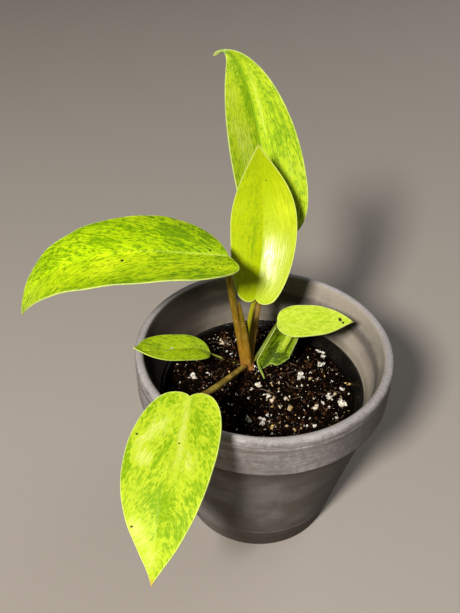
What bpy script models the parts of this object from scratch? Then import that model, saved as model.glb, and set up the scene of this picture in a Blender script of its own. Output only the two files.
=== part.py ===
# A painted lady philodendron in a nursery pot that stands in a grey clay pot.
# The origin is the middle of the clay pot's base, on the ground. Metres, +Z up.
# Lengths below are millimetres. Plant points are measured from the middle of the clay rim.
import math

import bmesh
import bpy
from mathutils import Vector, noise

MM = 0.001

# Clay pot
POT_HEIGHT = 110.7
POT_RIM_R = 65.0
POT_WALL = 5.0
COLLAR_HEIGHT = 22.7
COLLAR_FOOT_R = 64.5
BODY_TOP_R = 60.9
BODY_FOOT_R = 40.4
POT_FLOOR = 8.0
POT_STEPS = 48
POT_DRAINS = 3
POT_DRAIN_R = 4.0
POT_DRAIN_RING = 21.0

# Nursery pot
LINER_FOOT = 8.3
LINER_TOP = 83.7
LINER_RIM_R = 52.6
LINER_FOOT_R = 33.0
LINER_WALL = 0.9
LINER_DRAINS = 4
LINER_DRAIN_R = 3.5
LINER_DRAIN_RING = 22.0

# Soil, heights below the clay rim
SOIL_GAP = 0.35
SOIL_LEVEL = -26.6
MOUND_RISE = 2.2
MOUND_SPREAD = 15.0
SOIL_TILT = 0.09
SOIL_SAG = 5.0
SAG_TOWARDS = math.radians(25.0)
SOIL_ROUGHNESS = 0.55
GRAIN_COUNT = 22

# Plant
CROWN = Vector((-7.5, 12.6, 0.0))
CROWN_R = 3.6
CROWN_ROOT = -37.0
CROWN_TOP = -21.5
HOLE_R = 4.8
BLADE = 0.7
TOUCH = 0.3
UPWARD = Vector((0.0, 0.0, 1.0))
FORWARD = Vector((0.0, -1.0, 0.2))
OUTWARD = Vector((0.0, -0.3, 1.0))

# Each leaf: midrib as four control points, then its flat outline in shares of its length,
# its turn about the midrib, and the fold and curl of its left and right half.
LEAVES = {
    "leaf_left": dict(
        midrib=((-18.5, 5, 50.5), (-50, -10, 62), (-105, -9, 67), (-116, -10, 25)),
        half_width=0.265, widest=0.315, lobe=0.0, tip=0.165, shoulder=0.15,
        roll=3, twist=11, fold=(9.5, 7.5), curl=(-0.6, 0.7), facing=UPWARD),
    "leaf_tall": dict(
        midrib=((3.6, 46.2, 29.4), (-1.1, 62, 69.9), (-12.2, 74.1, 135.3), (-28, 69.4, 121.1)),
        half_width=0.202, widest=0.23, lobe=-0.018, tip=-0.05, shoulder=0.37,
        roll=-13, twist=28, fold=(48, 27), curl=(0.0, 0.08), facing=FORWARD),
    "leaf_young": dict(
        midrib=((-5, 11, 21), (1, 35.4, 51.5), (-2.5, 42.9, 59.3), (-5.7, 40, 90.6)),
        half_width=0.213, widest=0.401, lobe=0.035, tip=0.091, shoulder=0.281,
        roll=2.9, twist=-0.9, fold=(18.3, 14.5), curl=(0.284, 0.388), facing=FORWARD),
    "leaf_drooping": dict(
        midrib=((-35, -46, 9), (-45, -78, -1), (-45.5, -106, -5), (-48, -115, -33)),
        half_width=0.265, widest=0.3, lobe=0.02, tip=0.045, shoulder=0.33,
        roll=-22, twist=-3, fold=(10, 7), curl=(0.5, 0.25), facing=OUTWARD),
    "leaf_small_left": dict(
        midrib=((-27.5, 10, -14.8), (-36, 9.5, -7.5), (-54, -5.5, -2.8), (-64.2, -12, 7.3)),
        half_width=0.234, widest=0.49, lobe=-0.03, tip=0.067, shoulder=0.32,
        roll=-3, twist=0, fold=(9, 10), curl=(0.6, 0.33), facing=UPWARD),
    "leaf_small_right": dict(
        midrib=((7.2, 18, 1), (18, 17, 0), (36, 17, 4), (46, 14, 4.6)),
        half_width=0.276, widest=0.38, lobe=0.01, tip=0.06, shoulder=0.32,
        roll=-8, twist=0, fold=(9, 6.5), curl=(0.5, 0.5), facing=UPWARD),
}

# Each stalk: the first three control points, its leaf, and its radius at foot and tip.
STALKS = {
    "petiole_left": (((-9, 12, -25), (-12.6, 11, 0), (-18, 7, 30)), "leaf_left", 2.6, 1.6),
    "petiole_tall": (((-7, 14.5, -25), (-5.1, 22.2, -9), (-1.4, 35.8, 8.3)), "leaf_tall", 2.2, 1.6),
    "petiole_young": (((-9.5, 12.5, -24), (-9, 13, -5), (-7.5, 12.5, 10)), "leaf_young", 1.2, 1.15),
    "petiole_drooping": (((-8, 11, -24), (-15.7, -6.3, -14), (-26.5, -30.3, -6)), "leaf_drooping", 1.3, 1.7),
    "petiole_small_left": (((-10, 12, -24.5), (-15, 12, -23.6), (-21.5, 12.3, -20.3)), "leaf_small_left", 0.75, 0.6),
    "petiole_small_right": (((-5, 14, -24), (1, 21, -22), (5, 25, -9)), "leaf_small_right", 1.0, 0.8),
}
SHEATH = ((-7.6, 11.3, -25), (-8.8, 10, -8), (-11.2, 9.6, 7), (-13.3, 9.1, 20))
SHEATH_R = 2.2

# Curled leaf: its left edge, right edge and deepest line, each from the upper to the lower end
CURL_LEFT = (Vector((6.6, 17, -2.4)), Vector((-4.9, 7.9, -22.6)))
CURL_RIGHT = (Vector((18.1, 13, -6.1)), Vector((13.4, 9, -18.1)))
CURL_BED = (Vector((14.0, 22.5, -9.0)), Vector((3.0, 9.6, -23.5)))
CURL_TAIL = Vector((6.0, -6.3, -2.3))


def clear_scene():
    for obj in list(bpy.data.objects):
        bpy.data.objects.remove(obj, do_unlink=True)


def make_collection(name):
    collection = bpy.data.collections.new(name)
    bpy.context.scene.collection.children.link(collection)
    return collection


def make_material(name, colour, roughness, metallic=0.0):
    material = bpy.data.materials.new(name)
    material.use_nodes = True
    shader = material.node_tree.nodes["Principled BSDF"]
    shader.inputs["Base Color"].default_value = (*colour, 1.0)
    shader.inputs["Roughness"].default_value = roughness
    shader.inputs["Metallic"].default_value = metallic
    return material


def make_object(name, data, collection, material=None):
    obj = bpy.data.objects.new(name, data)
    collection.objects.link(obj)
    if material:
        data.materials.append(material)
    return obj


def evaluated_mesh(obj):
    bpy.context.view_layer.update()
    graph = bpy.context.evaluated_depsgraph_get()
    return bpy.data.meshes.new_from_object(obj.evaluated_get(graph))


def apply_modifiers(obj):
    mesh = evaluated_mesh(obj)
    obj.modifiers.clear()
    obj.data = mesh


def smooth_shading(obj):
    obj.data.shade_smooth()
    obj.data.set_sharp_from_angle(angle=math.radians(35))


def turned(name, profile, steps, collection, material):
    # The profile runs from the axis up the inside, over the rim and down the outside.
    bm = bmesh.new()
    verts = [bm.verts.new((r * MM, 0.0, z * MM)) for r, z in profile]
    for a, b in zip(verts, verts[1:]):
        bm.edges.new((a, b))
    mesh = bpy.data.meshes.new(name)
    bm.to_mesh(mesh)
    bm.free()
    obj = make_object(name, mesh, collection, material)
    screw = obj.modifiers.new("turn", "SCREW")
    screw.steps = steps
    screw.render_steps = steps
    screw.use_merge_vertices = True
    screw.merge_threshold = 0.00001
    apply_modifiers(obj)
    return obj


def cylinder_cutter(name, radius, bottom, top, place, sides, collection):
    bm = bmesh.new()
    height = (top - bottom) * MM
    bmesh.ops.create_cone(bm, cap_ends=True, segments=sides, radius1=radius * MM,
                          radius2=radius * MM, depth=height)
    middle = Vector((place.x, place.y, (top + bottom) / 2)) * MM
    bmesh.ops.translate(bm, vec=middle, verts=bm.verts)
    mesh = bpy.data.meshes.new(name)
    bm.to_mesh(mesh)
    bm.free()
    cutter = make_object(name, mesh, collection)
    cutter.hide_render = True
    cutter.display_type = "WIRE"
    return cutter


def cut(obj, cutter):
    boolean = obj.modifiers.new("cut", "BOOLEAN")
    boolean.operation = "DIFFERENCE"
    boolean.solver = "EXACT"
    boolean.object = cutter


def drain_holes(obj, prefix, count, radius, ring, floor, cutters):
    for i in range(count):
        angle = math.tau * (i + 0.5) / count
        place = Vector((ring * math.cos(angle), ring * math.sin(angle), 0.0))
        cut(obj, cylinder_cutter(f"{prefix}_{i}", radius, -3.0, floor + 4.0, place, 16, cutters))


def clay_pot(parts, cutters):
    collar_foot = POT_HEIGHT - COLLAR_HEIGHT
    inner = POT_RIM_R - POT_WALL
    profile = [
        (0.0, POT_FLOOR),
        (34.4, POT_FLOOR),
        (35.8, POT_FLOOR + 1.4),
        (53.9, collar_foot - 1.3),
        (55.2, collar_foot + 1.6),
        (inner, POT_HEIGHT - 1.5),
        (inner + 0.5, POT_HEIGHT - 0.4),
        (inner + 1.6, POT_HEIGHT),
        (POT_RIM_R - 1.8, POT_HEIGHT),
        (POT_RIM_R - 0.5, POT_HEIGHT - 0.6),
        (POT_RIM_R, POT_HEIGHT - 1.9),
        (COLLAR_FOOT_R, collar_foot + 0.9),
        (COLLAR_FOOT_R - 0.5, collar_foot + 0.1),
        (BODY_TOP_R, collar_foot),
        (BODY_FOOT_R, 0.8),
        (BODY_FOOT_R - 0.8, 0.0),
        (0.0, 0.0),
    ]
    material = make_material("clay", (0.36, 0.34, 0.32), 0.9)
    pot = turned("pot", profile, POT_STEPS, parts, material)
    drain_holes(pot, "pot_drain", POT_DRAINS, POT_DRAIN_R, POT_DRAIN_RING, POT_FLOOR, cutters)
    smooth_shading(pot)
    return pot


def liner_inner_radius(height):
    # Inside radius of the nursery pot at a height above the ground
    share = (height - LINER_FOOT - 1.0) / (LINER_TOP - 0.7 - LINER_FOOT - 1.0)
    foot = LINER_FOOT_R - 1.0
    top = LINER_RIM_R - 0.7 - LINER_WALL
    return foot + (top - foot) * share


def nursery_pot(parts, cutters):
    top_wall = LINER_RIM_R - 0.7
    profile = [
        (0.0, LINER_FOOT + 1.0),
        (LINER_FOOT_R - 1.0, LINER_FOOT + 1.0),
        (top_wall - LINER_WALL, LINER_TOP - 0.7),
        (top_wall - 0.4, LINER_TOP),
        (LINER_RIM_R - 0.3, LINER_TOP),
        (LINER_RIM_R, LINER_TOP - 0.5),
        (LINER_RIM_R, LINER_TOP - 1.7),
        (top_wall, LINER_TOP - 1.9),
        (LINER_FOOT_R, LINER_FOOT + 0.6),
        (LINER_FOOT_R - 0.5, LINER_FOOT),
        (0.0, LINER_FOOT),
    ]
    material = make_material("black_plastic", (0.02, 0.02, 0.02), 0.45)
    liner = turned("nursery_pot", profile, POT_STEPS, parts, material)
    drain_holes(liner, "liner_drain", LINER_DRAINS, LINER_DRAIN_R, LINER_DRAIN_RING,
                LINER_FOOT, cutters)
    smooth_shading(liner)
    return liner


def bezier(points, t):
    a, b, c, d = points
    s = 1.0 - t
    return a * s ** 3 + b * 3 * s * s * t + c * 3 * s * t * t + d * t ** 3


def bezier_direction(points, t):
    a, b, c, d = points
    s = 1.0 - t
    return ((b - a) * s * s + (c - b) * 2 * s * t + (d - c) * t * t).normalized()


def bezier_length(points, steps=60):
    spots = [bezier(points, i / steps) for i in range(steps + 1)]
    return sum((q - p).length for p, q in zip(spots, spots[1:]))


def margin(leaf, share):
    # Right edge of the flat leaf: share 0 is the notch at the stalk, 0.5 the widest place, 1 the tip.
    wide = leaf["half_width"]
    high = leaf["widest"]
    drop = leaf["lobe"]
    if share < 0.5:
        curve = ((0, 0), (0.12 * wide, -1.7 * drop), (1.02 * wide, -1.35 * drop - 0.03), (wide, high))
        t = share * 2
    else:
        curve = ((wide, high), (0.98 * wide, high + leaf["shoulder"]), (leaf["tip"], 0.86), (0, 1))
        t = share * 2 - 1
    return bezier([Vector(p) for p in curve], t)


def midrib_frame(leaf, y):
    # Point, direction, side and face of the leaf at a share of its length
    points = [Vector(p) for p in leaf["midrib"]]
    t = min(max(y, 0.0), 1.0)
    along = bezier_direction(points, t)
    side = along.cross(leaf["facing"]).normalized()
    face = side.cross(along)
    turn = math.radians(leaf["roll"] + leaf["twist"] * t)
    spot = bezier(points, t)
    if y < 0.0:
        spot = spot + bezier_direction(points, 0.0) * y * bezier_length(points)
    new_side = side * math.cos(turn) + face * math.sin(turn)
    new_face = face * math.cos(turn) - side * math.sin(turn)
    return spot, along, new_side, new_face


def cross_section(distance, fold, curl):
    # The half blade leaves the midrib at the fold angle and turns over by curl degrees a millimetre.
    start = math.radians(fold)
    bend = math.radians(curl)
    end = start - bend * distance
    if abs(bend) < 1e-6:
        return distance * math.cos(start), distance * math.sin(start)
    return (math.sin(start) - math.sin(end)) / bend, (math.cos(end) - math.cos(start)) / bend


def leaf_point(leaf, across, share):
    # across runs from -1 at the left edge to 1 at the right edge
    length = bezier_length([Vector(p) for p in leaf["midrib"]])
    edge = margin(leaf, share)
    reach = abs(across)
    centre = 0.9 * share * share + 0.1 * share
    x = edge.x * reach
    y = centre + (edge.y - centre) * reach ** 1.25
    spot, along, side, face = midrib_frame(leaf, y)
    half = 0 if across < 0 else 1
    fade = min(max(1.0 - y, 0.0), 1.0) ** 0.3
    out, lift = cross_section(x * length, leaf["fold"][half] * fade, leaf["curl"][half])
    sign = -1.0 if across < 0 else 1.0
    return spot + side * sign * out + face * lift


def mapped_grid(across, along, place):
    # A grid of cells whose corners are set by place(u, v), both from 0 to 1
    bm = bmesh.new()
    bmesh.ops.create_grid(bm, x_segments=across, y_segments=along, size=0.5)
    for vert in bm.verts:
        spot = place(vert.co.x + 0.5, vert.co.y + 0.5)
        vert.co = (spot + Vector((0, 0, POT_HEIGHT))) * MM
    bmesh.ops.remove_doubles(bm, verts=bm.verts, dist=0.000002)
    bmesh.ops.triangulate(bm, faces=bm.faces)
    return bm


def blade(name, bm, collection, material):
    mesh = bpy.data.meshes.new(name)
    bm.to_mesh(mesh)
    bm.free()
    obj = make_object(name, mesh, collection, material)
    solidify = obj.modifiers.new("thickness", "SOLIDIFY")
    solidify.thickness = BLADE * MM
    solidify.offset = 0.0
    smooth_shading(obj)
    return obj


def leaf_blade(name, leaf, across, along, collection, material):
    bm = mapped_grid(across, along, lambda u, v: leaf_point(leaf, 2 * u - 1, v))
    return blade(name, bm, collection, material)


def curled_point(u, v):
    # A trough between its two edges; the left edge runs on as a thin tail to the soil.
    left = CURL_LEFT[0].lerp(CURL_LEFT[1], v)
    right = CURL_RIGHT[0].lerp(CURL_RIGHT[1], v)
    bed = CURL_BED[0].lerp(CURL_BED[1], v)
    pull = bed * 2 - (left + right) / 2
    spot = left * (1 - u) ** 2 + pull * 2 * u * (1 - u) + right * u * u
    torn = 1.1 * math.sin(u * 14.0) * max(v - 0.7, 0.0) / 0.3
    spot += (CURL_BED[0] - CURL_BED[1]).normalized() * torn
    if u < 0.2 and v > 0.8:
        spot += CURL_TAIL * (1 - u / 0.2) * ((v - 0.8) / 0.2) ** 2
    return spot


def curled_leaf(parts):
    material = make_material("curled_green", (0.30, 0.42, 0.05), 0.5)
    return blade("leaf_curled", mapped_grid(10, 10, curled_point), parts, material)


def stalk_path(name):
    # Control points of a stalk; it ends just behind its leaf, at the notch.
    points, leaf_name, foot, tip = STALKS[name]
    points = [Vector(p) for p in points]
    spot, along, side, face = midrib_frame(LEAVES[leaf_name], 0.0)
    meeting = (spot - points[2]).normalized().dot(face)
    reach = BLADE / 2 + TOUCH + tip * math.sqrt(1 - meeting * meeting)
    return points + [spot - face * reach + along * 1.2], foot, tip


def tube(name, centres, radii, collection):
    curve = bpy.data.curves.new(name, "CURVE")
    curve.dimensions = "3D"
    curve.bevel_depth = MM
    curve.bevel_resolution = 2
    curve.use_fill_caps = True
    spline = curve.splines.new("POLY")
    spline.points.add(len(centres) - 1)
    for point, centre, radius in zip(spline.points, centres, radii):
        spot = (centre + Vector((0, 0, POT_HEIGHT))) * MM
        point.co = (*spot, 1.0)
        point.radius = radius
    source = make_object(name + "_curve", curve, collection)
    mesh = evaluated_mesh(source)
    bpy.data.objects.remove(source, do_unlink=True)
    bm = bmesh.new()
    bm.from_mesh(mesh)
    bmesh.ops.remove_doubles(bm, verts=bm.verts, dist=0.000005)
    bm.to_mesh(mesh)
    bm.free()
    return make_object(name, mesh, collection)


def stalk_tube(name, steps, collection):
    path, foot, tip = stalk_path(name)
    shares = [i / steps for i in range(steps + 1)]
    centres = [bezier(path, t) for t in shares]
    radii = [foot + (tip - foot) * t ** 0.7 for t in shares]
    return tube(name, centres, radii, collection)


def crown_tube(collection):
    levels = ((CROWN_ROOT, 2.6), (-31.0, 3.5), (-27.0, CROWN_R), (-24.0, 3.3), (CROWN_TOP, 1.8))
    centres = [CROWN + Vector((0, 0, z)) for z, r in levels]
    return tube("crown", centres, [r for z, r in levels], collection)


def sheath_tube(collection):
    # The wing along the left stalk's foot, ending in a free point
    path = [Vector(p) for p in SHEATH]
    shares = [i / 7 for i in range(8)]
    centres = [bezier(path, t) for t in shares]
    radii = [SHEATH_R * (1 - t) ** 0.6 + 0.4 for t in shares]
    return tube("sheath", centres, radii, collection)


def stalks(parts):
    pieces = bpy.data.collections.new("stalk_pieces")
    bpy.context.scene.collection.children.link(pieces)
    for name in STALKS:
        stalk_tube(name, 9, pieces)
    sheath_tube(pieces)
    body = crown_tube(parts)
    body.name = "stalks"
    union = body.modifiers.new("join", "BOOLEAN")
    union.operation = "UNION"
    union.solver = "EXACT"
    union.operand_type = "COLLECTION"
    union.collection = pieces
    union.use_self = True
    apply_modifiers(body)
    for piece in list(pieces.objects):
        bpy.data.objects.remove(piece, do_unlink=True)
    bpy.data.collections.remove(pieces)
    body.data.materials.clear()
    body.data.materials.append(make_material("stalk", (0.42, 0.26, 0.06), 0.45))
    smooth_shading(body)
    return body


def stalk_spots():
    # Places along the low stalks that the soil has to stay under
    spots = []
    for name in STALKS:
        path, foot, tip = stalk_path(name)
        for i in range(25):
            t = i / 24
            spots.append((bezier(path, t), foot + (tip - foot) * t))
    for i in range(11):
        t = i / 10
        spots.append((CURL_BED[0].lerp(CURL_BED[1], t), BLADE))
        spots.append((CURL_LEFT[0].lerp(CURL_LEFT[1], t), BLADE))
        spots.append((CURL_LEFT[1] + CURL_TAIL * t, BLADE))
    return spots


def soil_height(x, y, spots):
    place = Vector((x, y, 0.0))
    radius = place.length
    mound = MOUND_RISE * math.exp(-((place - CROWN).length / MOUND_SPREAD) ** 2)
    tilt = SOIL_TILT * max(x - CROWN.x, 0.0)
    facing = (1 + math.cos(math.atan2(y, x) - SAG_TOWARDS)) / 2
    sag = SOIL_SAG * facing * (radius / 50.0) ** 4
    rough = noise.noise(place * 0.22) + 0.5 * noise.noise(place * 0.55)
    height = SOIL_LEVEL + mound - tilt - sag + SOIL_ROUGHNESS * rough
    for spot, thick in spots:
        away = math.hypot(spot.x - x, spot.y - y)
        if away < thick + 3.0:
            height = min(height, spot.z - thick - 0.9 + max(away - thick, 0.0) * 0.3)
    return height


def soil_edge(angle, spots):
    radius = 49.0
    for _ in range(4):
        height = soil_height(radius * math.cos(angle), radius * math.sin(angle), spots)
        radius = liner_inner_radius(height + POT_HEIGHT) - SOIL_GAP
    return radius, height


def soil_body(spots, parts, rings=13, sides=36):
    # Rows from the middle out over the surface, then down the wall and in along the bottom
    bottom = LINER_FOOT + 1.0 + SOIL_GAP - POT_HEIGHT
    foot = LINER_FOOT_R - 1.4
    edges = [soil_edge(math.tau * i / sides, spots) for i in range(sides)]

    def place(u, v):
        index = round(u * sides) % sides
        angle = math.tau * index / sides
        row = round(v * (rings + 2))
        radius, height = edges[index]
        if row < rings:
            radius = radius * row / rings
            height = soil_height(radius * math.cos(angle), radius * math.sin(angle), spots)
        if row == rings + 1:
            radius, height = foot, bottom
        if row == rings + 2:
            radius, height = 0.0, bottom
        return Vector((radius * math.cos(angle), radius * math.sin(angle), height))

    bm = mapped_grid(sides, rings + 2, place)
    bmesh.ops.recalc_face_normals(bm, faces=bm.faces)
    mesh = bpy.data.meshes.new("soil")
    bm.to_mesh(mesh)
    bm.free()
    return make_object("soil", mesh, parts, make_material("soil", (0.035, 0.022, 0.015), 0.95))


def clear_of_stalks(spot, spots, reach):
    for other, thick in spots:
        if (other - spot).length < thick + reach:
            return False
    return (spot - CROWN - Vector((0, 0, spot.z))).length > HOLE_R + 2.5


def soil_grains(spots):
    # Larger bits of perlite and bark that stand out of the surface, spread along a golden spiral
    grains = bpy.data.collections.new("grains")
    bpy.context.scene.collection.children.link(grains)
    for i in range(GRAIN_COUNT):
        radius = 45.0 * math.sqrt((i + 0.5) / GRAIN_COUNT)
        angle = i * math.radians(137.5) + 0.4
        x, y = radius * math.cos(angle), radius * math.sin(angle)
        size = 1.3 + 0.5 * math.sin(i * 2.3)
        spot = Vector((x, y, soil_height(x, y, spots) + 0.25 * size))
        if not clear_of_stalks(spot, spots, size + 0.8):
            continue
        bm = bmesh.new()
        bmesh.ops.create_icosphere(bm, subdivisions=1, radius=size * MM)
        stretch = Vector((1.2, 0.9, 0.8))
        bmesh.ops.scale(bm, vec=stretch, verts=bm.verts)
        bmesh.ops.translate(bm, vec=(spot + Vector((0, 0, POT_HEIGHT))) * MM, verts=bm.verts)
        mesh = bpy.data.meshes.new(f"grain_{i}")
        bm.to_mesh(mesh)
        bm.free()
        make_object(f"grain_{i}", mesh, grains)
    return grains


def soil(parts, cutters):
    spots = stalk_spots()
    body = soil_body(spots, parts)
    grains = soil_grains(spots)
    union = body.modifiers.new("grains", "BOOLEAN")
    union.operation = "UNION"
    union.solver = "EXACT"
    union.operand_type = "COLLECTION"
    union.collection = grains
    apply_modifiers(body)
    for piece in list(grains.objects):
        bpy.data.objects.remove(piece, do_unlink=True)
    bpy.data.collections.remove(grains)
    depth = POT_HEIGHT + CROWN_ROOT - 0.4
    cut(body, cylinder_cutter("crown_hole", HOLE_R, depth, POT_HEIGHT - 8.0, CROWN, 20, cutters))
    smooth_shading(body)
    return body


def leaves(parts):
    colours = {
        "leaf_left": (0.25, 0.40, 0.03),
        "leaf_tall": (0.36, 0.50, 0.05),
        "leaf_young": (0.50, 0.58, 0.03),
        "leaf_drooping": (0.40, 0.50, 0.04),
        "leaf_small_left": (0.22, 0.32, 0.05),
        "leaf_small_right": (0.38, 0.48, 0.07),
    }
    for name, leaf in LEAVES.items():
        small = "small" in name
        across, along = (6, 11) if small else (8, 16)
        material = make_material(name.replace("leaf", "green"), colours[name], 0.45)
        leaf_blade(name, leaf, across, along, parts, material)


def main():
    clear_scene()
    parts = make_collection("potted_philodendron")
    cutters = make_collection("cutters")
    clay_pot(parts, cutters)
    nursery_pot(parts, cutters)
    soil(parts, cutters)
    stalks(parts)
    leaves(parts)
    curled_leaf(parts)


main()
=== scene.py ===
# A painted lady philodendron in a nursery pot that stands in a grey clay pot.
# Sizes in the code are millimetres, and plant points are measured from the middle of the
# clay rim. Meshes are metres, +Z up, from the middle of the clay pot's base on the ground.
import math
import random
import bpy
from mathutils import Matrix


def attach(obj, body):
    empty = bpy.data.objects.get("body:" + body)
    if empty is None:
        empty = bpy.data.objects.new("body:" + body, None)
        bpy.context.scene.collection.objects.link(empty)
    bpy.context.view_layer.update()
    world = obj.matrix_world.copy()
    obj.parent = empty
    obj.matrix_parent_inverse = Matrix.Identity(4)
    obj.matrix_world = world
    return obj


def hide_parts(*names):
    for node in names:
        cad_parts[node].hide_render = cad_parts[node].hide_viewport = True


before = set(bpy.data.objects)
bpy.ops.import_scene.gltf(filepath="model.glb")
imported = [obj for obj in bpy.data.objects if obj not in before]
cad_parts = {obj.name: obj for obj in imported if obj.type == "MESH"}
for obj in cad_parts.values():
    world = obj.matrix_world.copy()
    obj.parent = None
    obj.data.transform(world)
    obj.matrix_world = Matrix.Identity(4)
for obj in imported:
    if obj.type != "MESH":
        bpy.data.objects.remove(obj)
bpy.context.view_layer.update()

from types import SimpleNamespace

import bmesh
import bpy
from bpy.props import FloatProperty, FloatVectorProperty, IntProperty, PointerProperty
from bpy.types import Operator, Panel, PropertyGroup
from mathutils import Matrix, Vector, noise

bl_info = {
    "name": "Potted painted lady philodendron",
    "version": (1, 0, 0),
    "blender": (4, 5, 0),
    "location": "3D View > Sidebar > Plant",
    "description": "Makes the pots, the soil, the stalks, the leaves and the stage of one plant",
    "category": "Add Mesh",
}

MM = 0.001
WELD_GAP = 0.000002
POT_HEIGHT = 110.7
POT_FLOOR = 8.0

# Drain holes of each pot: how many, radius, distance from the middle, and height of the drill
POT_DRAINS = (3, 4.0, 21.0, 9.0)
LINER_DRAINS = (4, 3.5, 22.0, 13.0)

# Nursery pot and soil, as the solids have them
LINER_FOOT = 8.3
LINER_TOP = 83.7
LINER_RIM_R = 52.6
LINER_FOOT_R = 33.0
LINER_WALL = 0.9
SOIL_GAP = 0.35
MOUND_RISE = 2.2
MOUND_SPREAD = 15.0
SOIL_TILT = 0.09
SOIL_SAG = 5.0
SAG_TOWARDS = math.radians(25.0)
SOIL_ROUGHNESS = 0.55
SOIL_REACH = 47.5
FIBRE_REACH = 44.0
FIBRE_LIMIT = 47.0
LOW_STALK = -14.0
BURYING_CRUMBS = 150
CLUSTER_SIZE = 2.2
CLUSTER_GRAINS = 5

# Plant
CROWN = Vector((-7.5, 12.6, 0.0))
CROWN_LEVELS = ((-37.0, 2.6), (-31.0, 3.5), (-27.0, 3.6), (-24.0, 3.3), (-21.5, 1.8))
STALK_SHARP = 60.0
UPWARD = Vector((0.0, 0.0, 1.0))
FORWARD = Vector((0.0, -1.0, 0.2))
OUTWARD = Vector((0.0, -0.3, 1.0))
VEIN_PITCH = 5.2
BLADE_HALF = 0.35
SMALL_GRID = (36, 70)
LARGE_GRID = (60, 124)
CURLED_GRID = (44, 44)
LEAF_MAPS = ("veins", "flat", "edges")

# Each leaf: midrib as four control points, then its flat outline in shares of its length,
# its turn about the midrib, and the fold and curl of its left and right half.
LEAVES = {
    "leaf_left": dict(
        midrib=((-18.5, 5, 50.5), (-50, -10, 62), (-105, -9, 67), (-116, -10, 25)),
        half_width=0.265, widest=0.315, lobe=0.0, tip=0.165, shoulder=0.15,
        roll=3, twist=11, fold=(9.5, 7.5), curl=(-0.6, 0.7), facing=UPWARD),
    "leaf_tall": dict(
        midrib=((3.6, 46.2, 29.4), (-1.1, 62, 69.9), (-12.2, 74.1, 135.3), (-28, 69.4, 121.1)),
        half_width=0.202, widest=0.23, lobe=-0.018, tip=-0.05, shoulder=0.37,
        roll=-13, twist=28, fold=(48, 27), curl=(0.0, 0.08), facing=FORWARD),
    "leaf_young": dict(
        midrib=((-5, 11, 21), (1, 35.4, 51.5), (-2.5, 42.9, 59.3), (-5.7, 40, 90.6)),
        half_width=0.213, widest=0.401, lobe=0.035, tip=0.091, shoulder=0.281,
        roll=2.9, twist=-0.9, fold=(18.3, 14.5), curl=(0.284, 0.388), facing=FORWARD),
    "leaf_drooping": dict(
        midrib=((-35, -46, 9), (-45, -78, -1), (-45.5, -106, -5), (-48, -115, -33)),
        half_width=0.265, widest=0.3, lobe=0.02, tip=0.045, shoulder=0.33,
        roll=-22, twist=-3, fold=(10, 7), curl=(0.5, 0.25), facing=OUTWARD),
    "leaf_small_left": dict(
        midrib=((-27.5, 10, -14.8), (-36, 9.5, -7.5), (-54, -5.5, -2.8), (-64.2, -12, 7.3)),
        half_width=0.234, widest=0.49, lobe=-0.03, tip=0.067, shoulder=0.32,
        roll=-3, twist=0, fold=(9, 10), curl=(0.6, 0.33), facing=UPWARD),
    "leaf_small_right": dict(
        midrib=((7.2, 18, 1), (18, 17, 0), (36, 17, 4), (46, 14, 4.6)),
        half_width=0.276, widest=0.38, lobe=0.01, tip=0.06, shoulder=0.32,
        roll=-8, twist=0, fold=(9, 6.5), curl=(0.5, 0.5), facing=UPWARD),
}

# Each stalk: the first three control points, its leaf, and its radius at foot and tip.
STALKS = {
    "petiole_left": (((-9, 12, -25), (-12.6, 11, 0), (-18, 7, 30)), "leaf_left", 2.6, 1.6),
    "petiole_tall": (((-7, 14.5, -25), (-5.1, 22.2, -9), (-1.4, 35.8, 8.3)), "leaf_tall", 2.2, 1.6),
    "petiole_young": (((-9.5, 12.5, -24), (-9, 13, -5), (-7.5, 12.5, 10)), "leaf_young", 1.2, 1.15),
    "petiole_drooping": (((-8, 11, -24), (-15.7, -6.3, -14), (-26.5, -30.3, -6)), "leaf_drooping", 1.3, 1.7),
    "petiole_small_left": (
        ((-10, 12, -24.5), (-15, 12, -23.6), (-21.5, 12.3, -20.3)), "leaf_small_left", 0.75, 0.6),
    "petiole_small_right": (((-5, 14, -24), (1, 21, -22), (5, 25, -9)), "leaf_small_right", 1.0, 0.8),
}
SHEATH = ((-7.6, 11.3, -25), (-8.8, 10, -8), (-11.2, 9.6, 7), (-13.3, 9.1, 20))

# Curled leaf: its left edge, right edge and deepest line, each from the upper to the lower end
CURL_LEFT = (Vector((6.6, 17, -2.4)), Vector((-4.9, 7.9, -22.6)))
CURL_RIGHT = (Vector((18.1, 13, -6.1)), Vector((13.4, 9, -18.1)))
CURL_BED = (Vector((14.0, 22.5, -9.0)), Vector((3.0, 9.6, -23.5)))
CURL_HALF = 0.7
CURL_TAIL = Vector((6.0, -6.3, -2.3))

# Camera, measured from the middle of the clay rim; the picture is 460 by 613 pixels
PICTURE = (460, 613)
CAMERA = Vector((-17.63, -296.04, 261.16))
CAMERA_PITCH = math.radians(38.65)
CAMERA_ROLL = math.radians(1.08)
CAMERA_FOCUS = 784.65
SENSOR = 36.0

# Floor and lights, in metres: what the lights point at, where they stand and how wide they are
FLOOR_HALF = 4.0
AIM = Vector((0.0, 0.0, 0.11))
KEY_PLACE = AIM + Vector((-0.33, -0.68, 0.655)).normalized() * 1.5
KEY_SIZE = 0.26
FILL_PLACE = Vector((1.0, 0.7, 0.9))
FILL_SIZE = 1.2

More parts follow.
